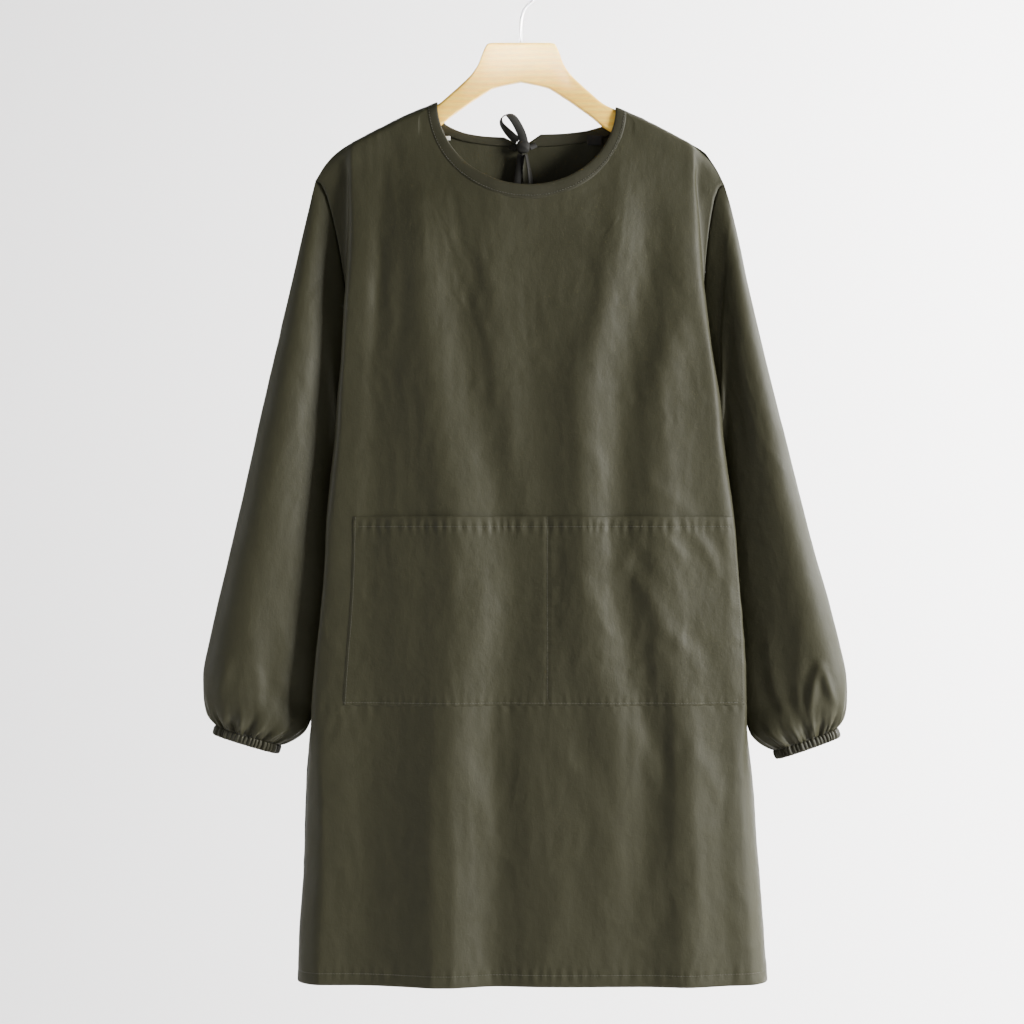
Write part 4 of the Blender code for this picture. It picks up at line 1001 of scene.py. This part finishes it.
def sleeve_relief(side, grid):
    """Crinkles, creases and uneven gathers over a fine sleeve grid."""
    columns = grid.shape[1]
    turn = np.arange(columns)[None, :] * 2 * pi / columns
    z = grid[..., 2]
    round_ = turn / (2 * pi) * SLEEVE_ROUND + 0 * z
    seed = 60 if side == LEFT else 80
    place = np.linspace(0, 1, grid.shape[0])[:, None]
    from_seam = run_down(grid)
    from_cuff = from_seam[-1:] - from_seam
    meet = ease((round_ - SLEEVE_ROUND + MEET) / MEET)
    relief = 0.65 * mix(crinkle(round_, z, seed), crinkle(round_ - SLEEVE_ROUND, z, seed), meet)
    relief = relief + creases(round_, z, SLEEVE_CREASES + BALLOON_CREASES[side])
    near = ease(1 - from_cuff / RIDGE_REACH)
    uneven = 1 + 0.6 * round_noise(turn, 9, seed + 9)
    phase = 0.9 * round_noise(turn, 16, seed + 11)
    ridges = np.cos(GATHERS * turn + phase) + 0.45 * np.cos(2 * GATHERS * turn + 1.3 + 2 * phase)
    ring = np.linalg.norm(np.diff(grid[-1], axis=0, prepend=grid[-1, -1:]), axis=1)
    round_end = (np.cumsum(ring) / ring.sum())[None, :]
    end_turn = 2 * pi * round_end
    shift = 0.9 * round_noise(end_turn, 7, seed + 14)
    shift = shift + 0.012 * from_cuff * round_noise(end_turn, 12, seed + 15)
    valley = (1 - np.abs(np.sin(pi * FOLDS * round_end + shift))) ** 1.4
    least, most = FOLD_REACH
    reach = mix(least, most, (0.5 + 0.5 * round_noise(end_turn, 4.5, seed + 16)) ** 1.5)
    notches = -FOLD_DEPTH * valley * uneven * ease(1.15 * (1 - from_cuff / reach))
    front = np.maximum(np.sin(turn), 0) ** 0.5
    sunk = -SINK * front * np.exp(-from_seam / SINK_LENGTH)
    full = UNDERARM_FILL * np.exp(-((turn - pi) / 0.6) ** 2 - ((from_seam - 30) / 30) ** 2)
    relief = relief * (1 - 0.5 * near) * ease(place / 0.03) + near * RIDGE * uneven * ridges
    return relief + notches + sunk + full


def with_lean(side, grid):
    """The sleeve with its front half leaning away towards the body."""
    from_seam = run_down(grid).mean(axis=1, keepdims=True)
    part = ease((from_seam - LEAN_START) / LEAN_OVER) * ease((from_seam[-1:] - from_seam) / LEAN_OVER)
    rows = np.arange(len(grid))
    outer = grid[rows, np.argmax(side * grid[..., 0], axis=1)][:, None]
    inner = grid[rows, np.argmin(side * grid[..., 0], axis=1)][:, None]
    share = np.sum((grid - outer) * (inner - outer), axis=-1) / np.sum((inner - outer) ** 2, axis=-1)
    turn = np.arccos(1 - 2 * np.clip(share, 0, 1))
    y = grid[..., 1]
    front = y.min(axis=1, keepdims=True) * leaning_front(side, turn) ** 0.9
    leaning = grid.copy()
    leaning[..., 1] = np.where(y < 0, mix(y, front, part), y)
    return leaning


sleeve_pieces = {}
for sleeve_side in (LEFT, RIGHT):
    side_name = SIDE_NAMES[sleeve_side]
    grid = with_lean(sleeve_side, finer_both(sleeve_form(sleeve_side), STEP, 1.3, closed=True))
    middle = grid.mean(axis=1, keepdims=True)
    normals = surface_normals(grid, grid - middle, closed=True)
    grid = grid + normals * sleeve_relief(sleeve_side, grid)[..., None]
    sleeve_area = cloth_area(grid, closed=True)
    normals = surface_normals(grid, grid - middle, closed=True)
    grid, normals = with_edge(grid, normals, "top", ROLLED)
    grid, normals = with_edge(grid, normals, "bottom", SEWN_IN)
    sleeve = sheet_piece(f"sleeve_{side_name}_cloth", grid, closed=True)
    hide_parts(*(f"sleeve_{side_name}_{length}_{half}"
                          for length in ("upper", "lower") for half in ("front", "back")))
    sleeve_pieces[sleeve_side] = sleeve
    print(sleeve.name, grid.shape[:2], "area", round(sleeve_area, 3))

# %% [markdown]
# The cuff is a narrow band with elastic inside: it bulges between its seams and carries fine pleats.

# %%
CUFF_PROFILE = (            # share of the height, how far out
    (0.0, -0.2), (0.06, 0.5), (0.25, 1.0), (0.5, 1.1), (0.75, 0.9), (0.94, 0.2), (1.0, -0.5),
    (0.97, -1.2), (0.8, -1.6), (0.4, -1.7), (0.05, -1.6))
CRIMPS, CRIMP = 42, 1.6     # pleats round the cuff and their depth
CUFF_COLUMNS, CUFF_STEP = 12 * CRIMPS, 0.9
for cuff_side in (LEFT, RIGHT):
    side_name = SIDE_NAMES[cuff_side]
    outer, inner, _ = sleeve_edges(cuff_side, CUFF_SEAM)
    across_cuff = unit(inner - outer)
    axis = unit(np.array((across_cuff[2], 0, -across_cuff[0])))
    axis = axis if axis[2] < 0 else -axis
    base = sleeve_ring(cuff_side, CUFF_SEAM, CUFF_COLUMNS)
    spokes = unit(base - base.mean(axis=0))
    tangent = unit(np.roll(base, -1, axis=0) - np.roll(base, 1, axis=0))
    facing = unit(np.cross(tangent, axis))
    facing = facing * np.sign(np.sum(facing * spokes, axis=1).mean())
    turn = np.arange(len(base)) * 2 * pi / len(base)
    steps = np.linalg.norm(base - np.roll(base, 1, axis=0), axis=1)
    round_cuff = np.cumsum(steps) / steps.sum()
    uneven = 0.9 + 0.5 * round_noise(turn, 9, 97 + cuff_side)
    wave = (uneven * CUFF_WAVE * (np.cos(GATHERS * turn) + 0.25 * np.cos(2 * GATHERS * turn + 1)))[:, None]
    cuff_rings = []
    for share, swell in CUFF_PROFILE:
        shift = 0.9 * round_noise(2 * pi * round_cuff, 5, 91 + cuff_side)
        shift = shift + 0.6 * share * round_noise(turn, 4, 17)
        ridge = np.abs(np.sin(pi * CRIMPS * round_cuff + shift)) ** 0.8 - 0.7
        pleat = CRIMP * (0.6 + 0.4 * uneven) * ridge
        cuff_rings.append(base + spokes * (0.6 * wave + swell) + facing * (pleat * (swell > -1))[:, None]
                          + axis * (SEAM + CUFF_HEIGHT * share))
    cuff = sheet_piece(f"cuff_{side_name}_cloth", finer(np.array(cuff_rings), CUFF_STEP), closed=True)
    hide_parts(f"cuff_{side_name}")
print("sleeves and cuffs made, gathers round each:", GATHERS)

# %% [markdown]
# ## Neck binding
#
# One folded strip runs round the neckline, from one side of the back slit to the other.

# %%
BINDING_SECTION = (         # share of the way from the panel to the edge, how far out of the cloth
    (-0.09, -0.25), (-0.06, 0.12), (0.1, 0.3), (0.5, 0.42), (0.85, 0.36), (1.0, 0.0), (1.04, -0.6),
    (1.0, -1.2), (0.85, -1.7), (0.5, -1.8), (0.1, -1.7), (-0.04, -1.5))


def binding_stations():
    """Edge, lower point and normal of each station, from the left of the slit round to the right."""
    ends = []
    for side in (LEFT, RIGHT):
        grid, normals = back_grids[side], back_top_normals[side]
        part = []
        for k in range(len(BACK_NECK_TURNS) - 1, 0, -1):
            x, z = back_neck(side, BACK_NECK_TURNS[k], 0)
            edge = (x, float(depth(BACK, x, z)), z)
            part.append((edge, grid[0, NECK_START + k], normals[0, NECK_START + k]))
        ends.append(part)
    middle_part = []
    for k, turn in enumerate(TURNS):
        x, z = front_neck(turn, 0)
        level = k in (0, len(TURNS) - 1)
        lower = front_grid[0, NECK_START + k].copy()
        lower[1] = 0 if level else lower[1]
        edge = (x, 0 if level else float(depth(FRONT, x, z)), z)
        middle_part.append((edge, lower, front_normals[0, NECK_START + k]))
    return ends[0] + middle_part + ends[1][::-1]


BINDING_STEP, PUCKER, PUCKER_LENGTH = 2.5, 0.18, 9
stations = finer(np.array(binding_stations()), BINDING_STEP)
edges, lows, outs = stations[:, 0], stations[:, 1], unit(stations[:, 2])
run = np.concatenate([[0], np.cumsum(np.linalg.norm(np.diff(lows, axis=0), axis=1))])
pucker = PUCKER * np.sin(2 * pi * run / PUCKER_LENGTH + 2 * soft_noise(run, run * 0, 31, 50, 51))
binding_rings = [[mix(low, edge, a) + out * (b + bump * (0 < a < 1)) for a, b in BINDING_SECTION]
                 for edge, low, out, bump in zip(edges, lows, outs, pucker)]
binding = lofted("neck_binding_cloth", binding_rings)
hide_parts("neck_binding")
print("binding stations:", len(stations), "length", round(float(run[-1])), "mm")

# %% [markdown]
# ## Labels
#
# Two small bare labels lie inside the back neck.

# %%
LABEL_COLUMNS, LABEL_ROWS = 24, 12
LABEL_CURL = 0.15


def label_piece(name, node):
    """A label's inner face and its edges, which turn to the panel."""
    middle_x, middle_z, half_width, half_height = LABELS[node]
    x, z = np.meshgrid(np.linspace(middle_x - half_width, middle_x + half_width, LABEL_COLUMNS),
                       np.linspace(middle_z + half_height, middle_z - half_height, LABEL_ROWS))
    panel = np.stack([x, depth(BACK, x, z), z], axis=-1)
    out = surface_normals(panel, (0, 1, 0))
    near = panel - out * (WALL + 2.5 * SEAM)
    far = near - out * (LABEL_WALL + LABEL_CURL * np.sin(pi * (x - middle_x) / half_width))[..., None]
    rows = np.pad(near, ((1, 1), (1, 1), (0, 0)), mode="edge")
    rows[1:-1, 1:-1] = far
    thing = sheet_piece(name, rows)
    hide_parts(node)
    return thing


neck_label = label_piece("woven_neck_label", "neck_label")
size_tag = label_piece("light_size_tag", "size_tag")
print("labels made")

# %% [markdown]
# ## Hanger
#
# A flat beech arm: its upper edge is rounded for the shoulders and its lower edge has a small bevel.
# The wire hook screws into its crown.

# %%
HANGER_STEP = 2.5
ROUNDING = tuple(np.radians(np.linspace(90, 0, 7)))
HANGER_FLAT = 0.6           # half width left flat on top
BEVEL_SHARES = ((1.0, 0.0), (0.45, 0.1), (0.12, 0.5), (0.0, 1.0))


def hanger_section(x):
    """Points round the arm at one x: bevelled below and rounded above."""
    top, low, half = (float(HANGER.read(name, abs(x))) for name in HANGER.names[1:])
    round_ = min(HANGER_ROUND, half - HANGER_FLAT)
    side = [(half - HANGER_BEVEL * a, low + HANGER_BEVEL * b) for a, b in BEVEL_SHARES]
    side += [(half - round_ * (1 - sin(a)), top - round_ * (1 - cos(a))) for a in ROUNDING]
    return [(x, y, z) for y, z in side] + [(x, -y, z) for y, z in reversed(side)]


outwards = HANGER_REACH * np.linspace(0, 1, int(2.2 * HANGER_REACH / HANGER_STEP))
hanger_x = np.concatenate([-outwards[::-1], outwards[1:]])
hanger = lofted("hanger_wood", [hanger_section(x) for x in hanger_x])
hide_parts("hanger_arm")

hook_centre_z = -(HOOK_RADIUS - WIRE_RADIUS)
hook_route = [(x, 0, z) for x, z in HOOK_SHANK]
for angle in np.radians(np.linspace(HOOK_FIRST_ANGLE, HOOK_LAST_ANGLE, HOOK_STEPS + 1)):
    hook_route.append((HOOK_RADIUS * cos(angle), 0, hook_centre_z + HOOK_RADIUS * sin(angle)))
hook_route = curve_through(hook_route, 5)
hook_along = unit(np.gradient(hook_route, axis=0))
hook_along[0] = (0, 0, 1)
WIRE_SIDES = 20
wire_section = [(WIRE_RADIUS * cos(a), WIRE_RADIUS * sin(a))
                for a in np.linspace(0, 2 * pi, WIRE_SIDES, endpoint=False)]
sideways = np.array((0, 1, 0))
hook_rings = swept(hook_route, np.cross(sideways, hook_along), [sideways] * len(hook_route), wire_section)
tip, tip_along = hook_route[-1], hook_along[-1]
for share in (0.55, 0.85, 0.98):
    centre = tip + tip_along * WIRE_RADIUS * share * 0.9
    size = (1 - share ** 2) ** 0.5
    hook_rings.append([centre + (p - tip) * size for p in hook_rings[len(hook_route) - 1]])
hook = lofted("hook_wire", hook_rings)
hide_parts("hanger_hook")
print("hanger sections:", len(hanger_x), "hook points:", len(hook_route))

# %% [markdown]
# ## Stitches
#
# Each stitch is a small spindle of thread, half sunk in the cloth, placed on the fine grids themselves.

# %%
STITCH_PITCH = 3.1
STITCH_LENGTH, STITCH_WIDTH, STITCH_HEIGHT = 2.3, 0.62, 0.34
stitch_points, stitch_faces = [], []


def sew(line, normals):
    """Stitches along a line of points on the cloth."""
    reach = run_down(line[:, None])[:, 0]
    places = np.arange(STITCH_PITCH / 2, reach[-1], STITCH_PITCH)

    def read(table, at):
        return np.stack([np.interp(at, reach, table[:, k]) for k in range(3)], axis=-1)

    at, up = read(line, places), unit(read(normals, places))
    along = unit(read(line, places + 0.6) - at)
    side = unit(np.cross(up, along))
    for p, d, n, s in zip(at, along, up, side):
        base = len(stitch_points)
        half = d * STITCH_LENGTH / 2
        stitch_points.extend([p - half, p + half, p + s * STITCH_WIDTH / 2, p + n * STITCH_HEIGHT,
                              p - s * STITCH_WIDTH / 2, p - n * STITCH_HEIGHT])
        for a, b in ((2, 3), (3, 4), (4, 5), (5, 2)):
            stitch_faces.append((base, base + a, base + b))
            stitch_faces.append((base + 1, base + b, base + a))


def line_at(grid, normals, values, level):
    """The line on a grid where values, which fall along its columns, pass a level."""
    row = np.clip(np.argmax(values <= level, axis=0), 1, len(grid) - 1)
    column = np.arange(grid.shape[1])
    above, below = values[row - 1, column], values[row, column]
    share = np.clip((above - level) / np.maximum(above - below, 1e-6), 0, 1)[:, None]
    return mix(grid[row - 1, column], grid[row, column], share), normals[row, column]


sew(*line_at(front_fine, front_out, front_fine[..., 2], HEM_Z + HEM_STITCH))
for back_side in (LEFT, RIGHT):
    fine = back_fine[back_side]
    sew(*line_at(fine, back_out[back_side], fine[..., 2], HEM_Z + HEM_STITCH))
for stitch_z in (POCKET_TOP_Z - MOUTH_STITCH, POCKET_LOW_Z + EDGE_STITCH):
    sew(*line_at(pocket_fine, pocket_normals, pocket_fine[..., 2], stitch_z))
pocket_sideways = pocket_fine.transpose(1, 0, 2)[::-1], pocket_normals.transpose(1, 0, 2)[::-1]
sew(*line_at(*pocket_sideways, pocket_sideways[0][..., 0], DIVISION_X))
for column in (1, -2):
    sew(pocket_fine[:, column], pocket_normals[:, column])
binding_line = np.array([mix(low, edge, 0.16) + out * 0.75 for edge, low, out in zip(edges, lows, outs)])
sew(binding_line, outs)
stitches = mesh_object("stitches", stitch_points, stitch_faces)
print("stitches:", len(stitch_points) // 6)

# %% [markdown]
# ## Materials
#
# A Paint is a number or a colour on its way through a material's nodes.  Arithmetic on it makes the
# Math nodes, so the formulas below read like formulas.  Positions are metres on the object.

# %%
class Paint:
    """A value in a material's node tree."""

    def __init__(self, tree, socket):
        self.tree, self.socket = tree, socket

    def node(self, kind, inputs, output=0, **settings):
        """A new node with its settings and inputs, which are values or paints."""
        made = self.tree.nodes.new(kind)
        for name, value in settings.items():
            setattr(made, name, value)
        for place, value in inputs.items():
            if isinstance(value, Paint):
                self.tree.links.new(value.socket, made.inputs[place])
            else:
                made.inputs[place].default_value = value
        return Paint(self.tree, made.outputs[output])

    def math(self, operation, *values):
        return self.node("ShaderNodeMath", dict(enumerate(values)), operation=operation)

    def __add__(self, other):
        return self.math("ADD", self, other)

    def __sub__(self, other):
        return self.math("SUBTRACT", self, other)

    def __mul__(self, other):
        return self.math("MULTIPLY", self, other)

    def __rsub__(self, other):
        return self.math("SUBTRACT", other, self)

    __radd__, __rmul__ = __add__, __mul__

    def wave(self, length):
        """A sine of a position, with a wave of that length in metres."""
        return self.math("SINE", self * (2 * pi / length))

    def clamped(self):
        return self.node("ShaderNodeClamp", {"Value": self})

    def contrast(self, amount):
        """A value near 0.5 spread out to both sides and clamped to 0..1."""
        return ((self - 0.5) * amount + 0.5).clamped()

    def between(self, low, high):
        """A colour between two others, this value of the way."""
        low, high = (end if isinstance(end, Paint) else (*end, 1) for end in (low, high))
        return self.node("ShaderNodeMix", {0: self, 6: low, 7: high}, output=2, data_type="RGBA")

    def scaled(self, x, y, z):
        """A position, stretched."""
        return self.node("ShaderNodeVectorMath", {0: self, 1: (x, y, z)}, operation="MULTIPLY")

    def noise(self, scale, detail=2.0, rough=0.5):
        return self.node("ShaderNodeTexNoise",
                         {"Vector": self, "Scale": scale, "Detail": detail, "Roughness": rough})

    def part(self, axis):
        return self.node("ShaderNodeSeparateXYZ", {0: self}, output="XYZ".index(axis))

    def bump(self, height_m, normal=None):
        """A surface direction from this value as a height of so many metres."""
        inputs = {"Height": self, "Distance": height_m, "Strength": 1.0}
        if normal is not None:
            inputs["Normal"] = normal
        return self.node("ShaderNodeBump", inputs)


def new_material(name, **constants):
    """A material, its shader with the constants on it, and the position to paint with."""
    material = bpy.data.materials.new(name)
    material.use_nodes = True
    tree = material.node_tree
    shader = tree.nodes["Principled BSDF"]
    for socket, value in constants.items():
        shader.inputs[socket.replace("_", " ")].default_value = value
    place = Paint(tree, tree.nodes.new("ShaderNodeTexCoord").outputs["Object"])
    return material, shader, place


def wire_up(shader, **paints):
    """Links paints to the shader's inputs."""
    for socket, paint in paints.items():
        paint.tree.links.new(paint.socket, shader.inputs[socket.replace("_", " ")])


def woven(name, dark, light, crinkle_m, weave_m=0.00006, roughness=0.56):
    """Washed plain-weave cotton: mottled colour, upright streaks, crinkles and threads."""
    material, shader, place = new_material(name, Specular_IOR_Level=0.3)
    streaks = place.scaled(95, 95, 48).noise(1.0, 3.0, 0.55)
    mottle = place.noise(26.0, 4.0, 0.6)
    patches = place.scaled(9, 9, 5).noise(1.0, 2.0)
    tone = (0.3 * streaks + 0.35 * mottle + 0.35 * patches).contrast(1.8)
    warp = place.scaled(1500, 1500, 260).noise(1.0, 1.0)
    weft = place.scaled(260, 260, 1500).noise(1.0, 1.0)
    height = streaks.bump(crinkle_m)
    height = mottle.bump(crinkle_m * 1.6, height)
    height = (warp + weft).bump(weave_m, height)
    wire_up(shader, Base_Color=tone.between(dark, light), Roughness=roughness + 0.16 * mottle,
            Normal=height)
    return material


CLOTH_DARK, CLOTH_LIGHT = (0.0180, 0.0170, 0.0056), (0.0262, 0.0250, 0.0094)
cloth = woven("olive_cotton", CLOTH_DARK, CLOTH_LIGHT, crinkle_m=0.00045)
pocket_cloth = woven("olive_cotton_pocket", CLOTH_DARK, CLOTH_LIGHT, crinkle_m=0.0006)
# The cuffs and the neck binding get a darker copy of the olive cotton: painted shade for the shadow between
# the cuff's pleats.
shaded_band_cloth = woven("olive_cotton_band_painted_shade", (0.0150, 0.0140, 0.0052), (0.0215, 0.0202, 0.0082), crinkle_m=0.0002)
tape = woven("dark_tape", (0.0042, 0.0039, 0.0026), (0.0095, 0.0088, 0.0060), crinkle_m=0.0002,
             roughness=0.65)
label_dark = woven("label_weave", (0.010, 0.010, 0.009), (0.022, 0.021, 0.020), crinkle_m=0.0001,
                   roughness=0.7)
label_light = woven("tag_weave", (0.55, 0.55, 0.50), (0.72, 0.72, 0.68), crinkle_m=0.0001, roughness=0.7)
thread, thread_shader, thread_place = new_material("olive_thread", Roughness=0.55, Sheen_Weight=0.2)
wire_up(thread_shader, Base_Color=thread_place.noise(500.0).contrast(2.0).between(
    (0.020, 0.0188, 0.0088), (0.038, 0.0355, 0.0185)))

# %% [markdown]
# The beech is pale, with fine dark flecks and faint lines along each arm under a thin clear coat.

# %%
wood, wood_shader, wood_place = new_material("beech_wood", Coat_Weight=0.25, Coat_Roughness=0.3,
                                             Specular_IOR_Level=0.45)
warped = wood_place.noise(9.0, 2.0) * 0.006 + wood_place.part("Z") + wood_place.part("Y") * 0.5
lines = warped.wave(0.0062).math("MULTIPLY_ADD", warped.wave(0.0062), 0.5, 0.5)
grain = wood_place.scaled(18, 160, 160).noise(1.0, 4.0, 0.6)
flecks = wood_place.scaled(130, 900, 900).noise(1.0, 1.0).contrast(7.0)
wood_tone = (0.35 * lines + 0.65 * grain).contrast(1.5)
wood_colour = wood_tone.between((1.0, 0.52, 0.04), (1.0, 0.67, 0.10))
wood_fleck = (0.16 * flecks).between(wood_colour, (0.42, 0.25, 0.12))
wire_up(wood_shader, Base_Color=wood_fleck, Roughness=0.4 + 0.15 * grain, Normal=grain.bump(0.00012))

wire, wire_shader, wire_place = new_material("white_wire_paint", Metallic=0.15, Coat_Weight=0.4)
wire_wear = wire_place.noise(260.0, 3.0).contrast(2.0)
wire_up(wire_shader, Base_Color=wire_wear.between((0.62, 0.62, 0.61), (0.84, 0.84, 0.83)),
        Roughness=0.28 + 0.18 * wire_wear)


def dress(thing, material):
    """One material and one slot for a piece."""
    thing.data.materials.append(material)


for piece in (front_piece, *back_pieces.values(), *sleeve_pieces.values()):
    dress(piece, cloth)
dress(pocket_piece, pocket_cloth)
# The cuffs and the binding take the darker cotton, which is painted shade.
for piece_name in ("cuff_left_cloth", "cuff_right_cloth", "neck_binding_cloth"):
    dress(bpy.data.objects[piece_name], shaded_band_cloth)
for tie in (*ties.values(), knot):
    dress(tie, tape)
dress(stitches, thread)
dress(neck_label, label_dark)
dress(size_tag, label_light)
dress(hanger, wood)
dress(hook, wire)
print("materials:", len(bpy.data.materials))

# %% [markdown]
# ## Studio
#
# A pale floor rises into a pale wall far behind.  One large soft light comes from the viewer's right,
# a weak fill and a rim light from the left, a narrow one falls on the hanger and one lights the wall.

# %%
FLOOR_Z, WALL_Y, STAGE_HALF, SWEEP = -2.3, 4.5, 9.0, 2.0
profile = [(-STAGE_HALF, FLOOR_Z), (WALL_Y - SWEEP, FLOOR_Z)]
profile += [(WALL_Y - SWEEP + SWEEP * sin(radians(a)), FLOOR_Z + SWEEP * (1 - cos(radians(a))))
            for a in range(10, 91, 10)]
profile.append((WALL_Y, STAGE_HALF))
stage_points = [(x, y, z) for y, z in profile for x in (-STAGE_HALF, STAGE_HALF)]
stage_faces = [(2 * k, 2 * k + 1, 2 * k + 3, 2 * k + 2) for k in range(len(profile) - 1)]
stage_mesh = bpy.data.meshes.new("backdrop")
stage_mesh.from_pydata(stage_points, [], stage_faces)
stage_mesh.polygons.foreach_set("use_smooth", [True] * len(stage_faces))
backdrop = bpy.data.objects.new("backdrop", stage_mesh)
bpy.context.scene.collection.objects.link(backdrop)
stage_mesh.materials.append(new_material("pale_paper", Base_Color=(0.81, 0.795, 0.79, 1), Roughness=0.9)[0])

world = bpy.data.worlds.new("studio")
world.use_nodes = True
sky = world.node_tree.nodes["Background"]
sky.inputs["Color"].default_value = (0.92, 0.94, 1.0, 1)
sky.inputs["Strength"].default_value = 0.19
bpy.context.scene.world = world

LIGHTS = (                  # name, place, target, width, height, spread in degrees, power
    ("key", (3.0, -1.25, 0.1), (0, 0, -0.6), 0.9, 0.9, 180, 400),
    ("fill", (-1.6, -3.2, 0.4), (0, 0, -0.6), 2.0, 2.0, 180, 10),
    ("rim", (-2.9, -0.4, -0.2), (0, 0, -0.6), 1.2, 1.2, 180, 46),
    ("hanger", (0.3, -2.2, 0.35), (0.0, 0, -0.055), 0.14, 0.02, 4, 0.2),
    ("wall", (3.2, 1.4, 0.9), (1.4, 4.5, -0.6), 2.2, 2.2, 180, 1150))
for light_name, spot, target, width, height, spread, power in LIGHTS:
    light_data = bpy.data.lights.new(light_name, "AREA")
    light_data.shape = "RECTANGLE"
    light_data.size, light_data.size_y = width, height
    light_data.spread = radians(spread)
    light_data.energy = power
    light = bpy.data.objects.new(light_name, light_data)
    light.location = spot
    aim = np.array(target) - np.array(spot)
    light.rotation_euler = (float(np.arccos(-aim[2] / np.linalg.norm(aim))), 0,
                            float(np.arctan2(aim[1], aim[0]) - pi / 2))
    bpy.context.scene.collection.objects.link(light)
print("lights:", [row[0] for row in LIGHTS])
